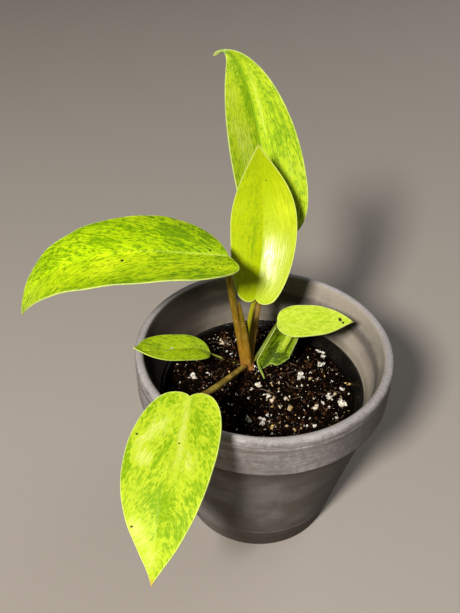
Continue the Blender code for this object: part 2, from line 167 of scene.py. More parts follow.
# Larger perlite grains: where the picture shows them, in pixels, and how big they look
PERLITE_SEEN = (
    (221.7, 342.5, 2.5), (227, 352, 1.3), (231.5, 356.5, 2.2), (229, 360, 1.4), (238.8, 363.3, 1.5),
    (207.2, 374.2, 1.9), (193.3, 376.7, 2.3), (263.7, 337.2, 1.4), (258.7, 353, 1.4), (319.2, 352.2, 2.7),
    (322.5, 357, 1.8), (320.8, 365.8, 3.3), (300, 375.8, 3.2), (309.7, 379.8, 1.7), (310, 374, 1.4),
    (316.7, 380.8, 1.5), (258, 386.2, 3.1), (251.2, 390, 1.4), (268, 396.7, 2.3), (272.5, 400.8, 2.0),
    (285.3, 399.2, 1.9), (248.3, 398.7, 1.4), (342.5, 390, 2.5), (349.2, 385, 1.6), (328.3, 398.3, 2.4),
    (334.7, 395, 1.7), (341.7, 404.2, 3.7), (329.2, 408.3, 1.6), (336.7, 418.3, 1.4), (322.5, 403.7, 1.7),
    (315, 407.5, 2.6), (290, 409.2, 2.5), (286.7, 426.7, 1.8), (272, 428.3, 1.9), (267.5, 416.3, 1.5),
    (260, 421.7, 3.2), (248.3, 420, 2.6), (294.5, 430.8, 1.5), (314.2, 427.5, 2.0), (279.2, 407.5, 1.3),
    (196, 334, 1.5), (201, 330, 1.2), (229, 325, 1.6),
)


# Places and curves

def metres(spot):
    return Vector((spot[0] * MM, spot[1] * MM, (spot[2] + POT_HEIGHT) * MM))


def bezier(points, t):
    a, b, c, d = points
    s = 1.0 - t
    return a * s ** 3 + b * (3 * s * s * t) + c * (3 * s * t * t) + d * t ** 3


def bezier_direction(points, t):
    a, b, c, d = points
    s = 1.0 - t
    return ((b - a) * s * s + (c - b) * 2 * s * t + (d - c) * t * t).normalized()


def vectors(points):
    return [Vector(p) for p in points]


def bezier_length(points, steps=60):
    spots = [bezier(points, i / steps) for i in range(steps + 1)]
    return sum((q - p).length for p, q in zip(spots, spots[1:]))


def smooth_step(low, high, value):
    t = min(max((value - low) / (high - low), 0.0), 1.0)
    return t * t * (3 - 2 * t)


# Meshes

def mapped_grid(columns, rows, place, maps=()):
    # A grid whose corners go where place(u, v) says; place also gives each corner's UV maps
    bm = bmesh.new()
    bmesh.ops.create_grid(bm, x_segments=columns, y_segments=rows, size=0.5)
    layers = [bm.loops.layers.uv.new(name) for name in maps]
    for vert in bm.verts:
        spot, flat = place(vert.co.x + 0.5, vert.co.y + 0.5)
        for layer, value in zip(layers, flat):
            for loop in vert.link_loops:
                loop[layer].uv = value
        vert.co = metres(spot)
    return bm


def close_up(bm, gap=WELD_GAP):
    bmesh.ops.remove_doubles(bm, verts=bm.verts, dist=gap)
    bmesh.ops.dissolve_degenerate(bm, dist=gap / 4, edges=bm.edges)
    bmesh.ops.recalc_face_normals(bm, faces=bm.faces)


def new_mesh(name, bm):
    mesh = bpy.data.meshes.new(name)
    bm.to_mesh(mesh)
    bm.free()
    return mesh


def new_object(name, data):
    thing = bpy.data.objects.new(name, data)
    bpy.context.scene.collection.objects.link(thing)
    return thing


def finished_piece(name, bm, material, slot, node, sharp=40.0):
    # The mesh becomes a piece that rides on the plant's one body and stands for a solid
    mesh = new_mesh(name, bm)
    mesh.materials.append(material)
    mesh.shade_smooth()
    mesh.set_sharp_from_angle(angle=math.radians(sharp))
    piece = new_object(name, mesh)
    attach(piece, "root")
    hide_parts(node)


def softened(profile):
    # Corners given as (radius, height, rounding) become short curves
    points = []
    corners = [Vector((r, z)) for r, z, _ in profile]
    for i, corner in enumerate(corners):
        rounding = profile[i][2]
        if rounding == 0:
            points.append(corner)
            continue
        back = corner + (corners[i - 1] - corner).normalized() * rounding
        ahead = corner + (corners[i + 1] - corner).normalized() * rounding
        for t in (0, 0.25, 0.5, 0.75, 1):
            points.append(back * (1 - t) ** 2 + corner * (2 * t * (1 - t)) + ahead * t * t)
    return points


def turned(profile, steps, row, ripple):
    # A closed wall turned about the axis, in rows of about the given height
    bm = bmesh.new()
    verts = [bm.verts.new((p.x, 0.0, p.y)) for p in softened(profile)]
    for pair in zip(verts, verts[1:]):
        bm.edges.new(pair)
    for edge in [e for e in bm.edges if e.calc_length() > 2 * row]:
        bmesh.ops.subdivide_edges(bm, edges=[edge], cuts=int(edge.calc_length() / row))
    for vert in bm.verts:
        if vert.co.x > 3.0:
            vert.co.x += ripple(vert.co.x, vert.co.z)
    bmesh.ops.spin(bm, geom=bm.verts[:] + bm.edges[:], cent=(0, 0, 0), axis=(0, 0, 1),
                   dvec=(0, 0, 0), angle=math.tau, steps=steps, use_merge=True)
    bmesh.ops.scale(bm, vec=(MM, MM, MM), verts=bm.verts)
    close_up(bm)
    return bm


def drilled(bm, count, radius, ring, top):
    # Round drain holes through the floor of a turned pot
    drills = bmesh.new()
    for i in range(count):
        angle = math.tau * (i + 0.5) / count
        middle = Vector((ring * math.cos(angle), ring * math.sin(angle), top / 2 - 1.5)) * MM
        bmesh.ops.create_cone(drills, cap_ends=True, segments=40, radius1=radius * MM, radius2=radius * MM,
                              depth=(top + 3) * MM, matrix=Matrix.Translation(middle))
    wall, drill = (new_object("drilling", new_mesh("drilling", shape)) for shape in (bm, drills))
    cut = wall.modifiers.new("drain holes", "BOOLEAN")
    cut.operation = "DIFFERENCE"
    cut.solver = "EXACT"
    cut.object = drill
    bpy.context.view_layer.update()
    shaped = wall.evaluated_get(bpy.context.evaluated_depsgraph_get()).to_mesh()
    result = bmesh.new()
    result.from_mesh(shaped)
    for thing in (wall, drill):
        mesh = thing.data
        bpy.data.objects.remove(thing, do_unlink=True)
        bpy.data.meshes.remove(mesh)
    return result


# Shader nodes

class Field:
    """A value or colour in a shader tree; arithmetic on it adds the nodes that work it out"""

    def __init__(self, socket):
        self.socket = socket
        self.tree = socket.id_data

    def __add__(self, other):
        return worked("ADD", self, other)

    __radd__ = __add__

    def __sub__(self, other):
        return worked("SUBTRACT", self, other)

    def __rsub__(self, other):
        return worked("SUBTRACT", other, self)

    def __mul__(self, other):
        return worked("MULTIPLY", self, other)

    def __truediv__(self, other):
        return worked("DIVIDE", self, other)

    def __abs__(self):
        return worked("ABSOLUTE", self)

    def between(self, low, high, start=0.0, end=1.0):
        # Goes smoothly from start to end while the value goes from low to high
        sources = (self, low, high, start, end)
        node = add_node(self.tree, "ShaderNodeMapRange", sources, interpolation_type="SMOOTHSTEP")
        return Field(node.outputs[0])


def feed(socket, source):
    # A value of the tree is linked; a plain number or colour is set on the socket itself
    if isinstance(source, Field):
        socket.id_data.links.new(source.socket, socket)
    elif isinstance(source, (int, float)):
        socket.default_value = source
    else:
        socket.default_value = (*source[:3], 1.0)


def add_node(tree, kind, sources=(), **settings):
    # A new node; the sources go to its inputs in order, or by name or number if they are a dict
    node = tree.nodes.new(kind)
    for key, value in settings.items():
        setattr(node, key, value)
    for key, source in (sources if isinstance(sources, dict) else dict(enumerate(sources))).items():
        feed(node.inputs[key], source)
    return node


def tree_of(sources):
    return next(source.tree for source in sources if isinstance(source, Field))


def worked(operation, *sources):
    return Field(add_node(tree_of(sources), "ShaderNodeMath", sources, operation=operation).outputs[0])


def hypotenuse(a, b):
    return worked("SQRT", a * a + b * b)


def mixed(amount, first, second):
    sources = {0: amount, 6: first, 7: second}
    return Field(add_node(tree_of(sources.values()), "ShaderNodeMix", sources, data_type="RGBA").outputs[2])


def layered(colour, *coats):
    # Coats over a colour, each with the mask that it shows through
    for mask, coat in coats:
        colour = mixed(mask, colour, coat)
    return colour


def combined(*sources):
    return Field(add_node(tree_of(sources), "ShaderNodeCombineXYZ", sources).outputs[0])


def separated(vector):
    return [Field(socket) for socket in add_node(vector.tree, "ShaderNodeSeparateXYZ", (vector,)).outputs]


def uv_map(tree, name):
    return separated(Field(add_node(tree, "ShaderNodeUVMap", uv_map=name).outputs[0]))[:2]


def object_place(tree):
    # Object coordinates in millimetres
    place = Field(add_node(tree, "ShaderNodeTexCoord").outputs["Object"])
    scale = add_node(tree, "ShaderNodeVectorMath", {0: place, "Scale": 1 / MM}, operation="SCALE")
    return separated(Field(scale.outputs[0]))


def attribute(tree, name):
    return Field(add_node(tree, "ShaderNodeAttribute", attribute_name=name).outputs["Fac"])


def clouds(place, scale, detail=3.0, roughness=0.55):
    sources = {"Vector": place, "Scale": scale, "Detail": detail, "Roughness": roughness}
    return Field(add_node(place.tree, "ShaderNodeTexNoise", sources).outputs[0])


# Shared effects: each gets its inputs by name and gives its outputs in order

def soft_patch(tree, given):
    # A soft oval on the flat leaf, placed and sized in millimetres
    x, y = uv_map(tree, "flat")
    dy = y - given.y
    dx = x - given.x - dy * given.lean
    return [hypotenuse(dx / given.wide, dy / given.long).between(1.3, 0.2) * given.strength]


def leaf_pattern(tree, given):
    # Streaks along the side veins over a mottled ground, with a pale rib and margin
    vein, side = uv_map(tree, "veins")
    x, y = uv_map(tree, "flat")
    margin_gap, tip_gap = uv_map(tree, "edges")
    flat = combined(x, y, given.seed * 13.0)
    fine_vein = (vein + (clouds(flat, 0.07, 1.0, 0.5) - 0.5) * 4.0) * given.scale
    run = side * given.along

    def veined(across, along, shift, detail, roughness):
        return clouds(combined(fine_vein * across, run * along, given.seed + shift), 1.0, detail, roughness)

    streaks = veined(0.45, 0.12, 0.0, 3.0, 0.55)
    flecks = veined(1.15, 0.46, 3.1, 2.5, 0.6)
    strokes = veined(0.85, 0.16, 11.7, 3.0, 0.55)
    fine = veined(2.6, 0.9, 7.3, 2.0, 0.5)
    broad = clouds(flat, 0.055, 2.0, 0.5)
    dabs = clouds(flat, 0.5, 3.0, 0.6)
    tone = streaks * 0.28 + flecks * 0.28 + dabs * 0.24 + fine * 0.12 + broad * 0.28 - given.patch
    low = 0.85 - given.shading * 0.5
    shade = tone.between(low, low + 0.14) * fine.between(0.30, 0.60, 0.45, 1.0)
    bright = strokes * 0.45 + dabs * 0.15 + fine * 0.15 - broad * 0.3 + given.patch * 0.8
    high = 0.5 - given.lighting * 0.5
    light = bright.between(high, high + 0.14) * flecks.between(0.65, 0.40, 0.5, 1.0)
    dapple = (flecks * 0.4 + dabs * 0.3 + fine * 0.3).between(0.47, 0.59) * given.dapple
    dapple = dapple * given.patch.between(0.12, -0.10, given.calm, 1.4)
    rib_gap = abs(x)
    rib = rib_gap.between(given.rib_width, given.rib_width * 0.2) * y.between(given.rib_length, 0.0)
    # Crease: painted shade down the fold beside the midrib
    crease = rib_gap.between(given.crease_width, given.crease_width * 0.2) * fine.between(0.25, 0.6, 0.6, 1.0)
    edge = (margin_gap + flecks * 0.5).between(0.85, 0.35)
    tip = (tip_gap + flecks * 1.5).between(given.tip_length + 0.7, 0.7)
    colour = layered(
        given.ground, (shade, given.shade), (light * 0.8, given.light), (dapple, given.shade),
        (rib * given.rib_strength, given.rib), (crease * given.crease, given.shade), (edge * 0.6, given.edge),
        (tip, given.tip))
    lines = worked("SINE", vein * 5.2)
    height = lines * given.lines + flecks * 0.7 + strokes * 0.8 + dabs * 0.4
    return colour, height, flecks.between(0.3, 0.7, 0.0, 1.0)


def ring_marks(tree, given):
    # Marks that run round the pot on every wall, as turning and wiping leave them
    x, y, z = object_place(tree)
    radius = hypotenuse(x, y)
    safe = worked("MAXIMUM", radius, 1.0)
    up = (z + radius + given.seed) * given.fine
    return [clouds(combined(x / safe * given.round, y / safe * given.round, up), 1.0, 4.0, 0.6)]


def grain(tree, given):
    # Even grain on object coordinates, fine and coarse
    x, y, z = object_place(tree)
    place = combined(x, y, z + given.seed)
    scale = worked("DIVIDE", 1.0, given.size)
    return clouds(place, scale, 4.0, 0.65), clouds(place, scale * 0.12, 3.0, 0.55)


def stalk_streaks(tree, given):
    # Long streaks down a stalk, from its own map: around and along, in millimetres
    around, along = uv_map(tree, "along")
    place = combined(around * 1.3, along * 0.16, given.seed)
    return clouds(place, 1.0, 4.0, 0.6), uv_map(tree, "share")[0]


GREY = (0.5, 0.5, 0.5, 1.0)
PATTERN = dict(
    ground=GREY, shade=GREY, light=GREY, edge=GREY, rib=GREY, tip=GREY, patch=0.0, shading=0.5, lighting=0.5,
    rib_width=0.8, rib_strength=0.4, rib_length=50.0, crease=0.0, crease_width=0.8, dapple=0.4, scale=1.0,
    along=1.0, calm=0.85, tip_length=2.0, lines=0.1, seed=0.0)

# Each shared group: what it does, its inputs with their defaults, and its outputs
GROUPS = {
    "soft_patch": (soft_patch, dict(x=0.0, y=0.0, wide=10.0, long=10.0, lean=0.0, strength=1.0), ("Value",)),
    "leaf_pattern": (leaf_pattern, PATTERN, ("Color", "Height", "Gloss")),
    "ring_marks": (ring_marks, dict(fine=1.0, round=1.0, seed=0.0), ("Value",)),
    "grain": (grain, dict(size=1.0, seed=0.0), ("Value", "Coarse")),
    "stalk_streaks": (stalk_streaks, dict(seed=0.0), ("Value", "Share")),
}


def title(key):
    return key.replace("_", " ").capitalize()


def new_group(name):
    work, inputs, outputs = GROUPS[name]
    tree = bpy.data.node_groups.new(name, "ShaderNodeTree")
    for key, default in inputs.items():
        kind = "NodeSocketColor" if isinstance(default, tuple) else "NodeSocketFloat"
        tree.interface.new_socket(title(key), in_out="INPUT", socket_type=kind).default_value = default
    for label in outputs:
        kind = "NodeSocketColor" if label == "Color" else "NodeSocketFloat"
        tree.interface.new_socket(label, in_out="OUTPUT", socket_type=kind)
    source = add_node(tree, "NodeGroupInput")
    given = SimpleNamespace(**{key: Field(socket) for key, socket in zip(inputs, source.outputs)})
    add_node(tree, "NodeGroupOutput", work(tree, given))
    return tree


def use_group(tree, name, **values):
    # The outputs of a shared group, which is made at its first use
    group = bpy.data.node_groups.get(name) or new_group(name)
    sources = {title(key): source for key, source in values.items()}
    node = add_node(tree, "ShaderNodeGroup", sources, node_tree=group)
    return [Field(socket) for socket in node.outputs]


# Materials

def new_material(name, roughness=0.5, specular=0.5):
    material = bpy.data.materials.new(name)
    material.use_nodes = True
    inputs = material.node_tree.nodes["Principled BSDF"].inputs
    inputs["Roughness"].default_value = roughness
    inputs["Specular IOR Level"].default_value = specular
    return material, material.node_tree


def finish_material(material, colour, height, distance, roughness=None):
    # The distance is how far the height stands out, in millimetres
    tree = material.node_tree
    inputs = tree.nodes["Principled BSDF"].inputs
    bump = add_node(tree, "ShaderNodeBump", {"Distance": distance * MM, "Strength": 1.0, "Height": height})
    feed(inputs["Base Color"], colour)
    feed(inputs["Normal"], Field(bump.outputs[0]))
    if roughness is not None:
        feed(inputs["Roughness"], roughness)
    return material


def clay_material(pot):
    # Heights are millimetres from the ground
    material, tree = new_material("grey_clay", specular=0.12)
    wide, = use_group(tree, "ring_marks", fine=0.30, round=2.2, seed=3.0)
    fine, = use_group(tree, "ring_marks", fine=1.6, round=2.6, seed=40.0)
    scratch, = use_group(tree, "ring_marks", fine=4.5, round=7.0, seed=80.0)
    dots, _ = use_group(tree, "grain", size=0.45, seed=5.0)
    blotch, broad = use_group(tree, "grain", size=2.6, seed=30.0)
    x, y, z = object_place(tree)
    marks = wide * 0.45 + fine * 0.25 + scratch * 0.3
    uneven = z + blotch * 2.0
    inner = pot.rim_radius / MM - 22.0
    inside = (hypotenuse(x, y) + z * -0.2).between(inner - 3.8, inner - 4.6)
    below = uneven.between(89.5, 87.5)
    # Side that faces the front; it keeps the painted shade on the right of the body and collar to this side
    front = (y + broad * 20.0).between(36.0, 6.0, 0.15, 1.0)

    # Below the collar the clay is damp. Painted shade darkens it further: towards the foot except on the lit
    # left, in a band under the collar, and on the right of the side facing the front
    painted_shade_foot = (z + wide * 10.0).between(32.0, 14.0) * (x + broad * 14.0).between(-22.0, 4.0, 0.0, 0.95)
    painted_shade_body = worked("MAXIMUM", painted_shade_foot, uneven.between(72.0, 86.0, 0.0, 0.9))
    painted_shade_body = worked("MAXIMUM", painted_shade_body, (x + wide * 10.0).between(16.0, 44.0, 0.0, 0.75) * front) * below
    # Outside the painted shade, where bloom, chalk and smudges may show
    dry = 1.0 - painted_shade_body
    foot = (z + wide * 8.0).between(34.0, 12.0, 0.0, 0.75)
    lines = scratch.between(0.52, 0.64) * wide.between(0.35, 0.60, 0.1, 0.55)
    ring = abs(uneven - 17.5).between(1.0, 0.2, 0.0, 0.8) * wide.between(0.4, 0.6, 0.2, 1.0)
    worn = z.between(1.7, 0.7, 0.0, 0.7) * wide.between(0.35, 0.6, 0.3, 1.0)
    band = abs(uneven - 22.0).between(3.6, 1.5, 0.0, 0.5) * wide.between(0.35, 0.6)
    salt = abs(uneven - 19.0).between(10.0, 4.0, 0.0, 0.7) * scratch.between(0.42, 0.62, 0.35, 1.0)
    # The pale salt marks are kept to the left of the lower body, where they also stand for painted light on
    # the lit side
    left = (x + broad * 14.0).between(-4.0, -18.0)
    damp = layered(
        mixed(broad.between(0.40, 0.62), pot.damp, pot.damp_pale), (foot, pot.smudge),
        (fine.between(0.50, 0.36, 0.0, 0.6), pot.damp), (lines, pot.damp_pale), (painted_shade_body, pot.deepest_clay_and_painted_shade),
        (ring, pot.clay), (worn, pot.clay), (band, pot.damp), (salt * left, pot.clay))

    # Pale salt bloom, wiped round the collar, and faint on the damp clay
    bloom = broad.between(0.42, 0.64) * scratch.between(0.38, 0.62) * (0.5 - below * 0.42) * dry
    chalk = blotch.between(0.46, 0.68) * scratch.between(0.40, 0.66, 0.2, 1.0)
    chalk = chalk * dots.between(0.40, 0.60, 0.45, 1.0) * (0.45 - below * 0.36) * dry
    smudge = broad.between(0.46, 0.30) * wide.between(0.40, 0.60) * (dry * 0.5)
    seam = abs(uneven - (POT_HEIGHT - 5.6)).between(1.8, 0.3) * wide.between(0.36, 0.60, 0.15, 0.75)
    # A bluish stain on the right of the collar, kept to the side facing the front; it also stands for painted
    # shade there
    stain_and_painted_shade = (x + broad * 24.0).between(30.0, 60.0, 0.0, 0.95) * uneven.between(103.0, 109.0, 1.0, 0.6)
    stain_and_painted_shade = stain_and_painted_shade * blotch.between(0.36, 0.58, 1.0, 0.7) * inside.between(0.0, 1.0, 1.0, 0.25) * front
    mottle = blotch.between(0.52, 0.36) * (0.5 - below * 0.4)

    # The worn lip is pale and grainy
    lip = (z + blotch * 1.6).between(109.6, 111.4) * dots.between(0.36, 0.62, 0.15, 0.8)

    # A film of dried mud inside, with a darker band part way down
    mud = mixed(abs(uneven - 99.0).between(5.0, 1.0, 0.0, 0.75), pot.film, pot.deepest_clay_and_painted_shade)
    film = inside * broad.between(0.3, 0.7, 0.45, 0.85)
    # Painted shade on the left of the inside, which faces away from the light
    painted_shade_inside_left = (x + broad * 20.0).between(4.0, -34.0, 0.0, 0.95) * inside
    colour = layered(
        mixed(marks.between(0.38, 0.60), pot.clay_dark, pot.clay), (below * 0.95, damp), (bloom, pot.bloom),
        (chalk, pot.bloom), (smudge, pot.smudge), (seam, pot.smudge), (stain_and_painted_shade, pot.stain),
        (mottle, pot.clay_dark), (dots.between(0.60, 0.70) * 0.6, pot.clay_dark), (lip, pot.bloom),
        (film, mud), (painted_shade_inside_left, pot.deepest_clay_and_painted_shade))
    height = fine * 0.7 + scratch * 0.4 + dots * 0.35
    return finish_material(material, colour, height, 0.28, marks.between(0.3, 0.7, 0.72, 0.92))


def liner_material(pot):
    material, tree = new_material("black_plastic", specular=0.35)
    fine, = use_group(tree, "ring_marks", fine=1.1, round=0.9, seed=9.0)
    dust, broad = use_group(tree, "grain", size=1.1, seed=12.0)
    colour = mixed(broad.between(0.42, 0.7) * 0.5, pot.plastic, pot.dust)
    return finish_material(material, colour, fine, 0.5, dust.between(0.3, 0.7, 0.2, 0.34))


def soil_material(name, dark, warm, roughness, size):
    material, tree = new_material(name, roughness, 0.02)
    rough, _ = use_group(tree, "grain", size=size, seed=2.0)
    amount = attribute(tree, "tint") * 0.8 + rough.between(0.35, 0.7) * 0.4
    return finish_material(material, mixed(amount.between(0.25, 1.1), dark, warm), rough, 0.5)


def perlite_material(soil):
    material, tree = new_material("perlite", 0.75)
    rough, broad = use_group(tree, "grain", size=0.7, seed=8.0)
    tint = attribute(tree, "tint") + broad.between(0.40, 0.62, -0.1, 0.45)
    colour = mixed(tint.between(0.4, 1.2), soil.perlite, soil.perlite_cream)
    colour = mixed(rough.between(0.50, 0.60) * 0.85, colour, soil.warm)
    return finish_material(material, colour, rough, 0.4)


def stalk_material(name, foot, middle, tip, seed, blotches=0.3):
    material, tree = new_material(name, 0.38, 0.2)
    streaks, share = use_group(tree, "stalk_streaks", seed=seed)
    rough, broad = use_group(tree, "grain", size=0.5, seed=seed)
    share = share + (streaks - 0.5) * 0.35
    pale = [min(1.0, c * 1.3 + 0.05) for c in middle]
    dark = [c * 0.5 for c in middle]
    colour = layered(
        mixed(share.between(0.0, 0.12), foot, middle), (share.between(0.12, 0.7), tip),
        (streaks.between(0.50, 0.62) * 0.6, pale), (streaks.between(0.47, 0.32) * 0.5, dark),
        (broad.between(0.56, 0.42, 0.0, blotches), dark), (rough.between(0.60, 0.70) * 0.35, dark))
    return finish_material(material, colour, streaks + rough * 0.25, 0.3)


def oval(tree, x, y, wide, long, lean=0.0, strength=1.0):
    return use_group(tree, "soft_patch", x=x, y=y, wide=wide, long=long, lean=lean, strength=strength)[0]


def leaf_look(name, plant):
    # A leaf's own look over the one that all leaves share
    return {"edge": plant.margin, "rib": plant.rib, "tip": plant.margin, **COMMON_LOOK, **LEAF_LOOKS[name]}


def leaf_material(name, look, plant):
    material, tree = new_material(name + "_green", 0.34, look["shine"])
    values = {key: value for key, value in look.items() if key in PATTERN}
    values["patch"] = sum(oval(tree, *patch) for patch in look["patches"])
    colour, height, gloss = use_group(tree, "leaf_pattern", **values)
    for x, y, size in look["specks"]:
        colour = mixed(oval(tree, x, y, size, size * 0.8, 0.3).between(0.15, 0.6), colour, plant.speck)
    for x, y, size in look["dots"]:
        colour = mixed(oval(tree, x, y, size, size).between(0.15, 0.6), colour, plant.dot)
    under = mixed(0.55, colour, plant.underside)
    colour = mixed(attribute(tree, "under").between(0.4, 0.9), colour, under)
    roughness = gloss.between(0.0, 1.0, look["gloss"] - 0.04, look["gloss"] + 0.1)
    for patch in look["waxy"]:
        roughness = roughness - oval(tree, *patch)
    return finish_material(material, colour, height, look["bump"], roughness)


# Settings

def length_setting(name, description, value):
    return FloatProperty(name=name, description=description, default=value * MM, min=0.0001, unit="LENGTH")


def power_setting(name, value):
    return FloatProperty(name=name, description="Power of this light", default=value, min=0.0, unit="POWER")


def count_setting(name, things, value):
    return IntProperty(name=name, description="Number of " + things, default=value, min=0)


def colour_setting(name, thing, value):
    return FloatVectorProperty(name=name, description="Colour of the " + thing, default=value,
                               min=0.0, max=1.0, size=3, subtype="COLOR")


class PotSettings(PropertyGroup):
    rim_radius: length_setting("Rim radius", "Outside radius of the clay rim", 65.0)
    wall: length_setting("Wall", "Thickness of the clay wall at the rim", 5.0)
    collar_height: length_setting("Collar height", "Height of the thick band under the rim", 22.7)
    collar_foot: length_setting("Collar foot radius", "Outside radius at the foot of the collar", 64.5)
    body_top: length_setting("Body top radius", "Outside radius of the wall under the collar", 60.9)
    body_foot: length_setting("Body foot radius", "Outside radius at the ground", 40.4)
    clay: colour_setting("Clay", "dry clay", (0.228, 0.201, 0.204))
    clay_dark: colour_setting("Dark clay", "clay between the turning marks", (0.142, 0.126, 0.116))
    bloom: colour_setting("Bloom", "pale salt bloom and of the worn lip", (0.43, 0.40, 0.40))
    # Also laid on as painted shade on the right of the collar
    stain: colour_setting("Stain", "bluish stain on one side of the collar", (0.075, 0.070, 0.071))
    damp: colour_setting("Damp clay", "darker clay below the collar", (0.090, 0.078, 0.066))
    # Darkest clay colour; it is also the painted shade at the foot, under the collar, on the right and on the
    # left of the inside
    deepest_clay_and_painted_shade: colour_setting("Wet clay", "wettest clay", (0.046, 0.036, 0.027))
    damp_pale: colour_setting("Drying clay", "drying patches on the damp clay", (0.134, 0.122, 0.118))
    film: colour_setting("Film", "film of dried mud inside", (0.34, 0.29, 0.225))
    smudge: colour_setting("Smudge", "brown smudges", (0.095, 0.082, 0.062))
    plastic: colour_setting("Plastic", "nursery pot", (0.004, 0.0037, 0.003))
    dust: colour_setting("Dust", "dust on the nursery pot", (0.019, 0.015, 0.011))


class SoilSettings(PropertyGroup):
    level: FloatProperty(name="Level", description="Height of the soil at the crown, from the clay rim",
                         default=-26.6 * MM, unit="LENGTH")
    crumbs: count_setting("Crumbs", "loose crumbs of soil", 5200)
    chips: count_setting("Chips", "bark chips", 300)
    fibres: count_setting("Fibres", "root and coconut fibres", 80)
    perlite_specks: count_setting("Perlite specks", "small perlite grains", 1500)
    dark: colour_setting("Dark soil", "moist peat", (0.0035, 0.002, 0.001))
    warm: colour_setting("Warm soil", "reddish crumbs", (0.085, 0.033, 0.014))
    chip: colour_setting("Chip", "palest bark chips", (0.24, 0.125, 0.065))
    fibre: colour_setting("Fibre", "fibres", (0.30, 0.21, 0.15))
    perlite: colour_setting("Perlite", "perlite", (0.76, 0.72, 0.63))
    perlite_cream: colour_setting("Stained perlite", "stained grains", (0.60, 0.40, 0.12))


class PlantSettings(PropertyGroup):
    blade: length_setting("Blade", "Thickness of a leaf", 0.5)
    margin: colour_setting("Margin", "pale leaf margin", (0.66, 0.72, 0.22))
    rib: colour_setting("Rib", "midrib", (0.58, 0.66, 0.10))
    underside: colour_setting("Underside", "back of the leaves", (0.40, 0.52, 0.16))
    speck: colour_setting("Speck", "dark specks", (0.03, 0.025, 0.01))
    dot: colour_setting("Dot", "dots of perlite dust on a leaf", (0.75, 0.75, 0.68))
    crown: colour_setting("Crown", "stalks at the crown", (0.38, 0.15, 0.03))
    stalk: colour_setting("Stalk", "stalks", (0.325, 0.168, 0.013))
    stalk_tip: colour_setting("Stalk tip", "stalks under the leaves", (0.18, 0.125, 0.006))
    young_stalk: colour_setting("Young stalk", "youngest stalk", (0.33, 0.31, 0.006))


class StageSettings(PropertyGroup):
    floor: colour_setting("Floor", "floor", (0.35, 0.31, 0.272))
    key: power_setting("Key light", 36.0)
    fill: power_setting("Fill light", 7.0)
    sky: FloatProperty(name="Room light", description="Strength of the even light of the room",
                       default=0.06, min=0.0)


# Pots

def make_clay_pot(pot):
    rim = pot.rim_radius / MM
    inner = rim - pot.wall / MM
    top = POT_HEIGHT
    collar = top - pot.collar_height / MM
    profile = (
        (0.0, POT_FLOOR, 0), (35.6, POT_FLOOR, 2.4), (54.3, 87.4, 1.6), (55.6, 90.4, 2.2),
        (inner + 0.1, top - 1.2, 0.8), (inner + 1.3, top, 1.0), (rim - 1.6, top, 1.1), (rim, top - 1.6, 1.1),
        (rim - 0.05, top - 4.0, 0.3), (rim - 0.42, top - 4.5, 0.3), (rim - 0.12, top - 5.1, 0.3),
        (pot.collar_foot / MM, collar, 0.9), (pot.body_top / MM, collar + 0.05, 0.4),
        (pot.body_foot / MM, 0.0, 1.0), (0.0, 0.0, 0))

    def uneven(radius, height):
        return (0.06 * noise.noise(Vector((0, radius * 0.4, height * 0.5)))
                + 0.03 * noise.noise(Vector((9, radius, height * 1.4))))

    bm = turned(profile, steps=192, row=1.3, ripple=uneven)
    bm = drilled(bm, *POT_DRAINS)
    finished_piece("clay_pot", bm, clay_material(pot), "clay", "pot", sharp=50.0)


def make_nursery_pot(pot):
    top_wall = LINER_RIM_R - 0.7
    floor = LINER_FOOT + 1.0
    profile = (
        (0.0, floor, 0), (LINER_FOOT_R - 1.0, floor, 1.0), (top_wall - LINER_WALL, LINER_TOP - 0.7, 0.2),
        (top_wall - 0.4, LINER_TOP, 0.15), (LINER_RIM_R - 0.1, LINER_TOP, 0.25),
        (LINER_RIM_R, LINER_TOP - 1.8, 0.2), (top_wall, LINER_TOP - 1.9, 0.2),
        (LINER_FOOT_R, LINER_FOOT, 0.7), (0.0, LINER_FOOT, 0))

    def ribs(radius, height):
        near_top = smooth_step(LINER_TOP - 24.0, LINER_TOP - 8.0, height) * (height < LINER_TOP - 2.0)
        return 0.18 * near_top * math.sin(height * math.tau / 2.2)

    bm = turned(profile, steps=160, row=0.55, ripple=ribs)
    bm = drilled(bm, *LINER_DRAINS)
    finished_piece("black_nursery_pot", bm, liner_material(pot), "nursery_plastic", "nursery_pot")


# Soil

def liner_inner_radius(height):
    share = (height - LINER_FOOT - 1.0) / (LINER_TOP - 0.7 - LINER_FOOT - 1.0)
    foot = LINER_FOOT_R - 1.0
    return foot + (LINER_RIM_R - 0.7 - LINER_WALL - foot) * share


def low_stalk_spots():
    # Places along the low stalks and the curled leaf that the soil stays under
    spots = []
    for name in STALKS:
        path, foot, tip = stalk_path(name, 0.3)
        for i in range(25):
            t = i / 24
            spots.append((bezier(path, t), foot + (tip - foot) * t))
    for i in range(11):
        t = i / 10
        bed, edge = (ends[0].lerp(ends[1], t) for ends in (CURL_BED, CURL_LEFT))
        spots += [(spot, CURL_HALF) for spot in (bed, edge, CURL_LEFT[1] + CURL_TAIL * t)]
    return [(spot, thick) for spot, thick in spots if spot.z - thick < LOW_STALK]


